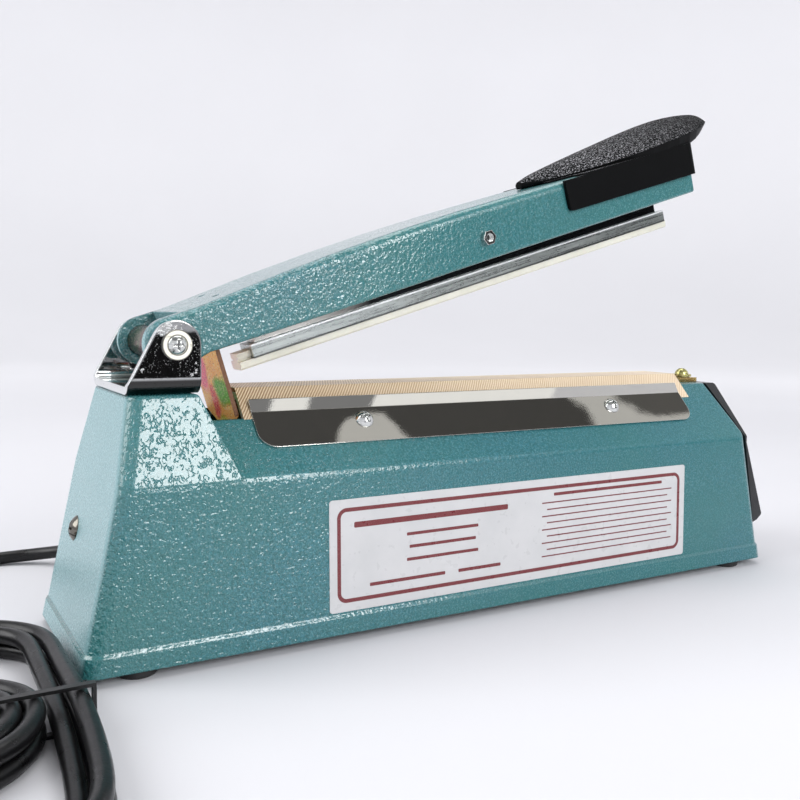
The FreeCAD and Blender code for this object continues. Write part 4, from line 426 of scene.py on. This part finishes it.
def zinc(name, tints, rough=(0.25, 0.42), grain=2200.0, depth=0.00003, scale=30.0):
    """Zinc plating, clear or with the interference colours of chromate."""
    t = Tree(name)
    flow = t.noise(scale, 3.0, 0.55, distortion=0.6)
    stops = [((i + 0.5) / len(tints) * 0.5 + 0.25, lin(*c)) for i, c in enumerate(tints)]
    col = t.ramp(flow, *stops)
    g = t.noise(grain, 2.0, 0.6)
    col = t.mix(t.step(g, 0.5, 0.75), col, t.mix(0.45, col, rgba(250, 240, 210)))
    t.set(Base_Color=col, Metallic=0.9, Roughness=t.remap(g, 0.3, 0.7, *rough), Normal=t.bump(g, depth))
    return t.m


def plastic(name, colour, r0, r1, grain, depth, light=14, coat=0.0, spec=0.5):
    t = Tree(name)
    g = t.noise(grain, 3.0, 0.6)
    v = t.voronoi(grain * 0.6, "F1")
    dirt = t.noise(40.0, 3.0, 0.6)
    hi = tuple(min(255, c + light) for c in colour)
    col = t.mix(t.remap(dirt, 0.35, 0.65, 0.0, 0.7), rgba(*colour), rgba(*hi))
    h = t.math("ADD", t.math("MULTIPLY", g, 0.6), t.math("MULTIPLY", v, 0.5))
    t.set(Base_Color=col, Roughness=t.remap(g, 0.3, 0.7, r0, r1), Specular_IOR_Level=spec, Coat_Weight=coat, Normal=t.bump(h, depth))
    return t.m


def leather_black():
    """The grip: a leather grain on top with painted highlight glints, plain gloss at the sides below."""
    t = Tree("grip_black")
    tc = t.t.nodes.new("ShaderNodeTexCoord")
    nz = t.xyz(tc.outputs["Normal"])[2]
    top = t.step(nz, 0.35, 0.62)
    warp = t.vec("ADD", t.co, t.vec("SCALE", t.n_noise_vec(500.0), scale=0.0008))
    a = t.voronoi(900.0, "F1", warp)
    b = t.noise(1900.0, 2.0, 0.6)
    h = t.math("ADD", t.math("MULTIPLY", a, 0.9), t.math("MULTIPLY", b, 0.4))
    h = t.math("MULTIPLY", h, t.remap(top, 0.0, 1.0, 0.04, 1.0))
    # lighter grain specks, on the top faces only
    top_grain_speck = t.step(t.math("ADD", t.math("MULTIPLY", a, 0.6), t.math("MULTIPLY", b, 0.6)), 0.56, 0.70)
    x = t.xyz(t.co)[0]
    # painted highlight: pale glints on the top, fewer toward the free end
    glint = t.step(t.noise(1500.0, 2.0, 0.75), 0.535, 0.60)
    glint = t.math("MULTIPLY", glint, t.remap(x, 0.06, 0.135, 1.0, 0.12))
    col = t.mix(t.math("MULTIPLY", top, t.math("MULTIPLY", top_grain_speck, 0.8)), rgba(8, 9, 10), rgba(26, 26, 28))
    col = t.mix(t.math("MULTIPLY", top, t.math("MULTIPLY", glint, 0.75)), col, rgba(172, 172, 176))
    t.set(Base_Color=col, Roughness=t.remap(top, 0.0, 1.0, 0.42, 0.78), Specular_IOR_Level=0.07, Normal=t.bump(h, 0.00055, normal=t.edge(0.0012)))
    return t.m


def ptfe():
    """Glass cloth with a brown coating: a fine twill that runs on the slant."""
    t = Tree("ptfe_glass_cloth")
    x, y, z = t.xyz(t.co)
    s = t.math("ADD", t.math("MULTIPLY", y, 0.75), t.math("MULTIPLY", z, 0.75))
    wob = t.math("MULTIPLY", t.noise(120.0, 2.0, 0.5), 0.0007)
    u = t.math("ADD", t.math("SUBTRACT", x, t.math("MULTIPLY", s, 0.62)), wob)
    v = t.math("ADD", t.math("MULTIPLY", x, 0.25), s)
    twill = t.math("SINE", t.math("MULTIPLY", u, 2 * math.pi * 900.0))
    cross = t.math("SINE", t.math("MULTIPLY", v, 2 * math.pi * 1500.0))
    th = t.math("ADD", t.math("MULTIPLY", twill, 0.78), t.math("MULTIPLY", cross, 0.22))
    w1 = t.noise(30.0, 2.0, 0.5)
    # the cloth is darker toward the hinge end, paler toward the free end
    hinge_to_free_end = t.remap(x, -0.105, 0.02, 0.0, 1.0)
    dark = t.mix(hinge_to_free_end, rgba(132, 104, 74), rgba(204, 178, 142))
    pale = t.mix(hinge_to_free_end, rgba(220, 202, 172), rgba(242, 228, 204))
    col = t.mix(t.remap(th, -0.7, 0.7, 0.0, 1.0), dark, pale)
    col = t.mix(t.remap(w1, 0.3, 0.7, 0.0, 0.22), col, rgba(186, 148, 104))
    t.set(Base_Color=col, Roughness=t.remap(th, -1.0, 1.0, 0.36, 0.46), Normal=t.bump(th, 0.00006))
    return t.m


def silicone():
    t = Tree("silicone_rubber")
    n1 = t.noise(60.0, 3.0, 0.6)
    n2 = t.noise(1500.0, 2.0, 0.5)
    col = t.mix(t.remap(n1, 0.3, 0.7, 0.0, 1.0), rgba(198, 197, 184), rgba(214, 213, 202))
    nx = t.math("ABSOLUTE", t.xyz(t.t.nodes.new("ShaderNodeTexCoord").outputs["Normal"])[0])
    # painted light: the hinge-end face is painted a pale blue-white
    painted_light_end_face = t.math("MULTIPLY", t.step(nx, 0.80, 0.90), t.math("SUBTRACT", 1.0, t.step(t.xyz(t.co)[0], -0.04, 0.0)))
    col = t.mix(painted_light_end_face, col, rgba(222, 240, 246))
    # painted light: the whole strip glows faintly, its hinge-end face more
    t.set(Base_Color=col, Emission_Color=col, Emission_Strength=t.remap(painted_light_end_face, 0.0, 1.0, 0.10, 0.20), Roughness=t.remap(n1, 0.3, 0.7, 0.34, 0.5), Subsurface_Weight=0.25, Subsurface_Radius=(0.003, 0.003, 0.002), Subsurface_Scale=1.0, Specular_IOR_Level=0.4, Normal=t.bump(t.math("ADD", n1, t.math("MULTIPLY", n2, 0.1)), 0.00012))
    return t.m


def iridescent():
    """Rainbow chromate on the lever: patches of orange, rose and green, grained; it glows in its own colours as painted
    light, with painted shade as a dark band at the side edge.
    """
    t = Tree("lever_chromate")
    x, y, z = t.xyz(t.co)
    wob = t.n_noise_vec(90.0)
    wx, wy, wz = t.xyz(t.vec("SCALE", wob, scale=0.010))
    yy, zz = t.math("ADD", y, wy), t.math("ADD", z, wz)

    def spot(cy, cz, ry, rz):
        a = t.math("DIVIDE", t.math("SUBTRACT", yy, cy), ry)
        b = t.math("DIVIDE", t.math("SUBTRACT", zz, cz), rz)
        d = t.math("SQRT", t.math("ADD", t.math("MULTIPLY", a, a), t.math("MULTIPLY", b, b)))
        return t.math("SUBTRACT", 1.0, t.step(d, 0.65, 1.15))

    col = t.mix(t.noise(120.0, 2.0, 0.5), rgba(244, 158, 82), rgba(255, 196, 104))
    col = t.mix(spot(0.010, 0.099, 0.009, 0.014), col, rgba(238, 84, 128))
    col = t.mix(spot(-0.010, 0.087, 0.008, 0.007), col, rgba(84, 160, 26))
    col = t.mix(spot(0.002, 0.083, 0.005, 0.007), col, rgba(226, 66, 74))
    col = t.mix(spot(0.0, 0.070, 0.014, 0.008), col, rgba(176, 186, 52))
    col = t.mix(spot(-0.004, 0.111, 0.009, 0.004), col, rgba(238, 140, 124))
    g = t.noise(1300.0, 2.0, 0.7)
    g2 = t.noise(1900.0, 2.0, 0.7)
    col = t.mix(t.step(g, 0.50, 0.64), col, t.mix(0.55, col, rgba(252, 232, 196)))
    col = t.mix(t.step(g2, 0.52, 0.62), col, t.mix(0.72, col, rgba(50, 30, 30)))
    # painted shade: a dark brown band along the side edge
    col = t.mix(t.step(t.math("ABSOLUTE", y), 0.01475, 0.01490), col, rgba(96, 62, 38))
    # painted light: the lever glows though it is no lamp
    t.set(Emission_Color=col, Emission_Strength=0.24)
    t.set(Base_Color=col, Metallic=0.2, Roughness=t.remap(g, 0.3, 0.7, 0.34, 0.50), Normal=t.bump(g, 0.00022))
    return t.m


def label():
    """White printed foil: a dark red rounded frame and plain ruled lines."""
    t = Tree("blank_label")
    x, y, z = t.xyz(t.co)
    cx, hw = 0.0088, 0.0869  # centre and half length
    z0, hh = 0.0309, 0.0200
    u = t.math("SUBTRACT", x, cx)
    w = t.math("SUBTRACT", z, z0)

    def box_dist(cu, cw, a, b, r):
        du = t.math("SUBTRACT", t.math("ABSOLUTE", t.math("SUBTRACT", u, cu)), a - r)
        dw = t.math("SUBTRACT", t.math("ABSOLUTE", t.math("SUBTRACT", w, cw)), b - r)
        du0, dw0 = t.math("MAXIMUM", du, 0.0), t.math("MAXIMUM", dw, 0.0)
        ln = t.math("SQRT", t.math("ADD", t.math("MULTIPLY", du0, du0), t.math("MULTIPLY", dw0, dw0)))
        ins = t.math("MINIMUM", t.math("MAXIMUM", du, dw), 0.0)
        return t.math("SUBTRACT", t.math("ADD", ln, ins), r)

    frame_ = t.math("ABSOLUTE", box_dist(0.0, 0.0, 0.0832, 0.0162, 0.0030))
    ink = t.math("SUBTRACT", 1.0, t.step(frame_, 0.00062, 0.00082))

    def ruled(ink, cu, half, first, pitch, count, thick=0.00028):
        for i in range(count):
            cw = first - pitch * i
            hl = half if i % 2 == 0 else half * 0.93
            d = box_dist(cu, cw, hl, thick, thick * 0.5)
            ink = t.math("MAXIMUM", ink, t.math("SUBTRACT", 1.0, t.step(d, -0.00002, 0.00010)))
        return ink

    ink = ruled(ink, -0.0436, 0.0336, 0.0106, 0.0, 1, 0.00100)
    ink = ruled(ink, -0.0398, 0.0158, 0.0049, 0.0047, 3, 0.00055)
    ink = ruled(ink, -0.0550, 0.0160, -0.0116, 0.0, 1, 0.00060)
    ink = ruled(ink, -0.0232, 0.0098, -0.0116, 0.0, 1, 0.00060)
    ink = ruled(ink, 0.0430, 0.0300, 0.0134, 0.0, 1, 0.00060)
    ink = ruled(ink, 0.0430, 0.0360, 0.0102, 0.0027, 9, 0.00022)
    edge = t.noise(5200.0, 2.0, 0.6)
    ink = t.math("MULTIPLY", ink, t.remap(edge, 0.25, 0.6, 0.84, 1.0))
    paper = t.mix(t.remap(t.noise(60.0, 3.0, 0.6), 0.3, 0.7, 0.0, 1.0), rgba(190, 191, 192), rgba(198, 198, 199))
    col = t.mix(ink, paper, rgba(104, 0, 14))
    t.set(Base_Color=col, Roughness=t.remap(t.noise(300.0), 0.3, 0.7, 0.26, 0.36), Specular_IOR_Level=0.5, Normal=t.bump(t.noise(240.0, 2.0, 0.5), 0.00006))
    return t.m


def cord_sheath():
    t = Tree("pvc_cord")
    n1 = t.noise(220.0, 3.0, 0.6)
    n2 = t.noise(3000.0, 2.0, 0.6)
    col = t.mix(t.remap(n1, 0.35, 0.65, 0.0, 1.0), rgba(8, 8, 9), rgba(15, 15, 17))
    col = t.mix(t.step(n2, 0.68, 0.75), col, rgba(74, 72, 70))
    t.set(Base_Color=col, Roughness=t.remap(n1, 0.3, 0.7, 0.26, 0.38), Specular_IOR_Level=0.36, Normal=t.bump(t.math("ADD", n1, t.math("MULTIPLY", n2, 0.15)), 0.00010))
    return t.m


def laminated():
    t = Tree("core_laminations")
    x, y, z = t.xyz(t.co)
    lines = t.math("SINE", t.math("MULTIPLY", y, 2 * math.pi / 0.0010))
    col = t.mix(t.remap(lines, -1, 1, 0, 1), rgba(36, 34, 34), rgba(96, 92, 90))
    col = t.mix(t.remap(t.noise(90.0, 3.0), 0.35, 0.65, 0, 0.6), col, rgba(80, 56, 40))
    t.set(Base_Color=col, Metallic=0.7, Roughness=0.5, Normal=t.bump(lines, 0.00008))
    return t.m


def winding():
    t = Tree("taped_winding")
    x, y, z = t.xyz(t.co)
    turns = t.math("SINE", t.math("MULTIPLY", z, 2 * math.pi / 0.0009))
    col = t.mix(t.remap(turns, -1, 1, 0, 1), rgba(150, 120, 30), rgba(206, 172, 60))
    col = t.mix(t.remap(t.noise(80.0, 3.0), 0.35, 0.65, 0, 0.4), col, rgba(120, 84, 20))
    t.set(Base_Color=col, Roughness=0.38, Normal=t.bump(turns, 0.00006))
    return t.m


def lens():
    t = Tree("red_lens")
    n1 = t.noise(300.0, 2.0)
    t.set(Base_Color=t.mix(t.remap(n1, 0.3, 0.7, 0, 1), rgba(170, 18, 14), rgba(200, 34, 24)), Roughness=t.remap(n1, 0.3, 0.7, 0.08, 0.16), Transmission_Weight=0.4, Normal=t.bump(n1, 0.00003))
    return t.m


def board():
    t = Tree("circuit_board")
    n1 = t.noise(160.0, 3.0)
    x, y, z = t.xyz(t.co)
    tr = t.math("SINE", t.math("MULTIPLY", t.math("ADD", y, t.math("MULTIPLY", t.noise(60.0, 0.0), 0.02)), 2 * math.pi / 0.004))
    col = t.mix(t.step(tr, 0.55, 0.7), rgba(176, 132, 70), rgba(120, 124, 70))
    col = t.mix(t.remap(n1, 0.35, 0.65, 0, 0.4), col, rgba(150, 108, 54))
    t.set(Base_Color=col, Roughness=0.42, Normal=t.bump(tr, 0.00004))
    return t.m


TEAL = teal()
CHROME = bracket_plating()
PLATE = chrome("mirror_stainless", (214, 212, 206), 0.008, 0.020, 0.000022, pits=False, edge=0.0003)
# painted shade: the end screw gets a darker copy of the screw plating
END_SCREW_SHADED = chrome("end_screw_plating_shaded", (112, 109, 102), 0.10, 0.20, 0.00005, edge=0.0004)
SCREW = chrome("screw_plating", (214, 216, 214), 0.08, 0.18, 0.00005, edge=0.0004)
WASHER = satin_plating("washer_plating", (230, 228, 214), 0.36, 0.50)
BAR = press_bar()
ZINC = zinc("clear_zinc", [(150, 152, 156), (188, 188, 190), (206, 204, 200), (170, 174, 182)])
STEEL = zinc("dull_zinc_sheet", [(136, 138, 140), (166, 166, 166), (186, 186, 184)], (0.35, 0.5), 1600.0, 0.00004, 20.0)
TUBE = zinc("tube_chromate", [(58, 44, 30), (112, 44, 74), (70, 86, 48), (128, 70, 84)], (0.16, 0.28), 2000.0, 0.00003, 70.0)
BRASS = zinc("brass", [(150, 120, 62), (196, 164, 96), (222, 196, 132)], (0.16, 0.30), 1500.0, 0.00004, 60.0)
GOLD = zinc("yellow_chromate", [(170, 140, 74), (206, 176, 108), (176, 176, 112), (196, 150, 110)], (0.2, 0.34), 1800.0, 0.00003, 60.0)
LEVER = iridescent()
GRIP = leather_black()
BLACK = plastic("black_moulding", (20, 21, 24), 0.30, 0.46, 1800.0, 0.00008)
KNOB = plastic("knob_black", (18, 18, 20), 0.26, 0.40, 1500.0, 0.00006)
RUBBER = plastic("black_rubber", (24, 24, 25), 0.55, 0.75, 900.0, 0.00012)
SHEATH = cord_sheath()
PLUG = plastic("plug_pvc", (18, 18, 19), 0.34, 0.50, 700.0, 0.00010)
TIE = plastic("tie_pvc", (11, 11, 12), 0.34, 0.36, 900.0, 0.00006)
PHENOLIC = plastic("phenolic_strip", (104, 62, 34), 0.4, 0.55, 500.0, 0.00006)
SPACER = plastic("nylon_spacer", (196, 206, 200), 0.35, 0.5, 800.0, 0.00005)
RED = plastic("red_plunger", (150, 26, 20), 0.3, 0.45, 900.0, 0.00004)
SWITCH = plastic("switch_case", (26, 27, 30), 0.35, 0.5, 1100.0, 0.00006)
PARTS = plastic("component_case", (40, 44, 60), 0.3, 0.5, 900.0, 0.00005, 30)
PTFE = ptfe()
SILICONE = silicone()
LABEL = label()
CORE = laminated()
COIL = winding()
LENS = lens()
BOARD = board()
WIRE = brushed("spring_wire", (170, 172, 176), 0, 0.25, 0.35, 20.0, 0.00002)
RIBBON = brushed("nichrome_ribbon", (156, 150, 142), 0, 0.3, 0.45, 50.0, 0.00002)

LOOK = {
    "housing": TEAL, "arm_casting": TEAL,
    "base_plate": STEEL, "rubber_feet": RUBBER, "feet_screws": ZINC,
    "hinge_bracket": CHROME, "bracket_screws": ZINC, "pivot_tube": TUBE, "pivot_washers": WASHER,
    "pivot_screws": SCREW, "pivot_spacers": SPACER, "end_screw": END_SCREW_SHADED,
    "sealing_bed": PHENOLIC, "bed_glass_tape": PTFE, "heating_element": RIBBON, "element_anchor": PHENOLIC,
    "ptfe_cloth": PTFE, "side_plate_front": PLATE, "side_plate_rear": PLATE, "side_plate_screws": SCREW,
    "terminal_block": BRASS, "terminal_washer": GOLD, "terminal_screw": GOLD, "rating_label": LABEL,
    "end_panel": BLACK, "panel_screws": ZINC, "indicator_lamp": LENS, "potentiometer": STEEL,
    "potentiometer_shaft": ZINC, "timer_knob": KNOB, "timer_board": BOARD, "timer_components": PARTS,
    "transformer_core": CORE, "transformer_coil": COIL, "transformer_frame": STEEL, "transformer_screws": ZINC,
    "microswitch": SWITCH, "microswitch_plunger": RED, "switch_bracket": STEEL, "switch_screws": ZINC,
    "strain_relief": RUBBER, "handle_grip": GRIP, "handle_screws": ZINC, "press_bar_pin": SCREW,
    "lever_plate": LEVER, "lever_screws": GOLD, "return_spring": WIRE, "spring_post": STEEL,
    "press_bar": BAR, "silicone_strip": SILICONE, "cord_tie": TIE, "power_plug": PLUG, "plug_blades": BRASS,
    "cord_hank": SHEATH, "cord_lead": SHEATH, "cord_tail": SHEATH,
}
for name, ob in nodes.items():
    me = ob.data
    me.materials.clear()
    me.materials.append(LOOK[name])
    for p in me.polygons:
        p.material_index = 0

cord = nurbs("mains_cord", ROUTE, CORD_D / 2, material=SHEATH)
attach(cord, "base")
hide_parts("cord_lead", "cord_hank", "cord_tail")

# ---------------------------------------------------------------- floor, backdrop, lights
def stage_material():
    """Pale paper whose upright part is lit from behind."""
    t = Tree("studio_paper")
    n1 = t.noise(3.0, 3.0, 0.5)
    x, y, z = t.xyz(t.co)
    far = t.math("SQRT", t.math("ADD", t.math("MULTIPLY", x, x), t.math("MULTIPLY", y, y)))
    glow = t.math("ADD", t.math("MULTIPLY", t.step(far, 0.6, 1.6), 0.25), t.math("MULTIPLY", t.step(z, 0.1, 0.6), 0.08))
    t.set(Base_Color=t.mix(t.remap(n1, 0.3, 0.7, 0, 1), rgba(206, 206, 210), rgba(209, 209, 213)), Roughness=0.85, Specular_IOR_Level=0.2, Emission_Color=(0.985, 0.985, 1.0, 1.0), Emission_Strength=glow)
    return t.m


def sweep_stage():
    """A round pale floor that curves up into a wall all the way round."""
    r_flat, r_bend, high = 1.7, 0.9, 2.4
    prof = [(0.0, 0.0)] + [(r_flat * i / 6, 0.0) for i in range(1, 7)]
    prof += [(r_flat + r_bend * math.sin(a), r_bend * (1 - math.cos(a))) for a in (math.pi / 2 * i / 14 for i in range(1, 15))]
    prof += [(r_flat + r_bend, high)]
    n = 96
    verts, faces = [(0, 0, 0)], []
    for r, z in prof[1:]:
        for k in range(n):
            a = 2 * math.pi * k / n
            verts.append((r * math.cos(a), r * math.sin(a), z))
    for k in range(n):
        faces.append((0, 1 + k, 1 + (k + 1) % n))
    for j in range(len(prof) - 2):
        for k in range(n):
            a, b = 1 + j * n + k, 1 + j * n + (k + 1) % n
            faces.append((a, a + n, b + n, b))
    me = bpy.data.meshes.new("studio_sweep")
    me.from_pydata(verts, [], faces)
    me.shade_smooth()
    ob = bpy.data.objects.new("studio_sweep", me)
    scene.collection.objects.link(ob)
    me.materials.append(stage_material())
    return ob


floor = sweep_stage()


def card(name, centre, target, w, h, colour, emit=0.0):
    """A panel that only mirrors see: a black flag or a white reflector."""
    me = bpy.data.meshes.new(name)
    me.from_pydata([(-w / 2, -h / 2, 0), (w / 2, -h / 2, 0), (w / 2, h / 2, 0), (-w / 2, h / 2, 0)], [], [(0, 1, 2, 3)])
    ob = bpy.data.objects.new(name, me)
    scene.collection.objects.link(ob)
    ob.location = centre
    ob.rotation_mode = "QUATERNION"
    ob.rotation_quaternion = (Vector(target) - Vector(centre)).to_track_quat("Z", "Y")
    t = Tree(name)
    t.set(Base_Color=(*colour, 1), Roughness=0.9, Specular_IOR_Level=0.0, Emission_Color=(1, 1, 1, 1), Emission_Strength=emit)
    me.materials.append(t.m)
    ob.visible_camera = False
    ob.visible_diffuse = False
    ob.visible_shadow = False
    return ob


def area(name, centre, target, w, h, watts, colour=(1, 1, 1)):
    la = bpy.data.lights.new(name, "AREA")
    la.shape = "RECTANGLE"
    la.size, la.size_y = w, h
    la.energy = watts
    la.color = colour
    ob = bpy.data.objects.new(name, la)
    scene.collection.objects.link(ob)
    ob.location = centre
    ob.rotation_mode = "QUATERNION"
    ob.rotation_quaternion = (Vector(target) - Vector(centre)).to_track_quat("-Z", "Y")
    return ob


def flag(name, outline, z, colour, emit):
    """A flat panel of free outline, level, that only mirrors see."""
    me = bpy.data.meshes.new(name)
    me.from_pydata([(x, y, z) for x, y in outline], [], [tuple(range(len(outline)))])
    ob = bpy.data.objects.new(name, me)
    scene.collection.objects.link(ob)
    t = Tree(name)
    t.set(Base_Color=(0.02, 0.02, 0.02, 1), Roughness=0.9, Specular_IOR_Level=0.0, Emission_Color=(*colour, 1), Emission_Strength=emit)
    me.materials.append(t.m)
    ob.visible_camera = False
    ob.visible_diffuse = False
    ob.visible_shadow = False
    return ob


AIM = (0.0, 0.0, 0.08)
# the soft box that the tower's near flank and the arm mirror
area("soft_front", (0.30, -1.15, 0.64), AIM, 0.46, 0.64, 10.5)
# high and to the hinge side, large
area("soft_left", (-1.35, 0.35, 1.05), AIM, 1.1, 1.3, 18.0)
area("soft_top", (0.15, 0.35, 1.75), AIM, 1.6, 1.2, 17.0)
area("soft_right", (1.25, 0.75, 0.9), AIM, 0.9, 1.0, 1.4)
# flags: a dark one before the bracket, and a ceiling panel with dark shapes
# under it that the polished plates mirror
card("black_front", (-0.02, -0.80, 0.036), (-0.02, 0.0, 0.036), 0.56, 0.106, (0.01, 0.01, 0.01))
card("black_right", (0.875, -0.80, 0.22), (0.875, 0.0, 0.22), 0.95, 0.50, (0.02, 0.02, 0.02))
flag("white_lip_l", [(0.59, -1.15), (0.69, -1.15), (0.70, -0.88), (0.61, -0.88)], 1.42, (1.0, 1.0, 1.0), 1.1)
flag("white_lip_r", [(0.86, -1.15), (1.46, -1.15), (1.42, -0.88), (0.89, -0.88)], 1.42, (1.0, 1.0, 1.0), 1.1)
flag("white_over", [(0.2, -0.62), (1.9, -0.62), (1.9, -0.05), (0.2, -0.05)], 1.42, (1.0, 0.99, 0.96), 0.60)
flag("dark_left", [
    (0.20, -0.46), (0.545, -0.46), (0.541, -0.33), (0.545, -0.295), (0.558, -0.272), (0.60, -0.260), (0.645, -0.262),
    (0.665, -0.28), (0.69, -0.305), (0.72, -0.33), (0.74, -0.46), (1.20, -0.46), (1.19, -0.32), (1.16, -0.275),
    (1.09, -0.238), (1.02, -0.215), (0.9, -0.19), (0.2, -0.19)], 1.30, (1.0, 0.97, 0.92), 0.055)
flag("dark_right", [
    (1.235, -0.20), (1.52, -0.20), (1.52, -0.296), (1.45, -0.302), (1.37, -0.301), (1.325, -0.292),
    (1.300, -0.276), (1.255, -0.262), (1.237, -0.245)], 1.30, (1.0, 0.97, 0.92), 0.10)

world = bpy.data.worlds.new("studio")
scene.world = world
world.use_nodes = True
bg = world.node_tree.nodes["Background"]
bg.inputs["Color"].default_value = (0.96, 0.965, 1.0, 1)
bg.inputs["Strength"].default_value = 0.28

scene.view_settings.view_transform = "Standard"
scene.view_settings.look = "None"
scene.view_settings.exposure = 0.0
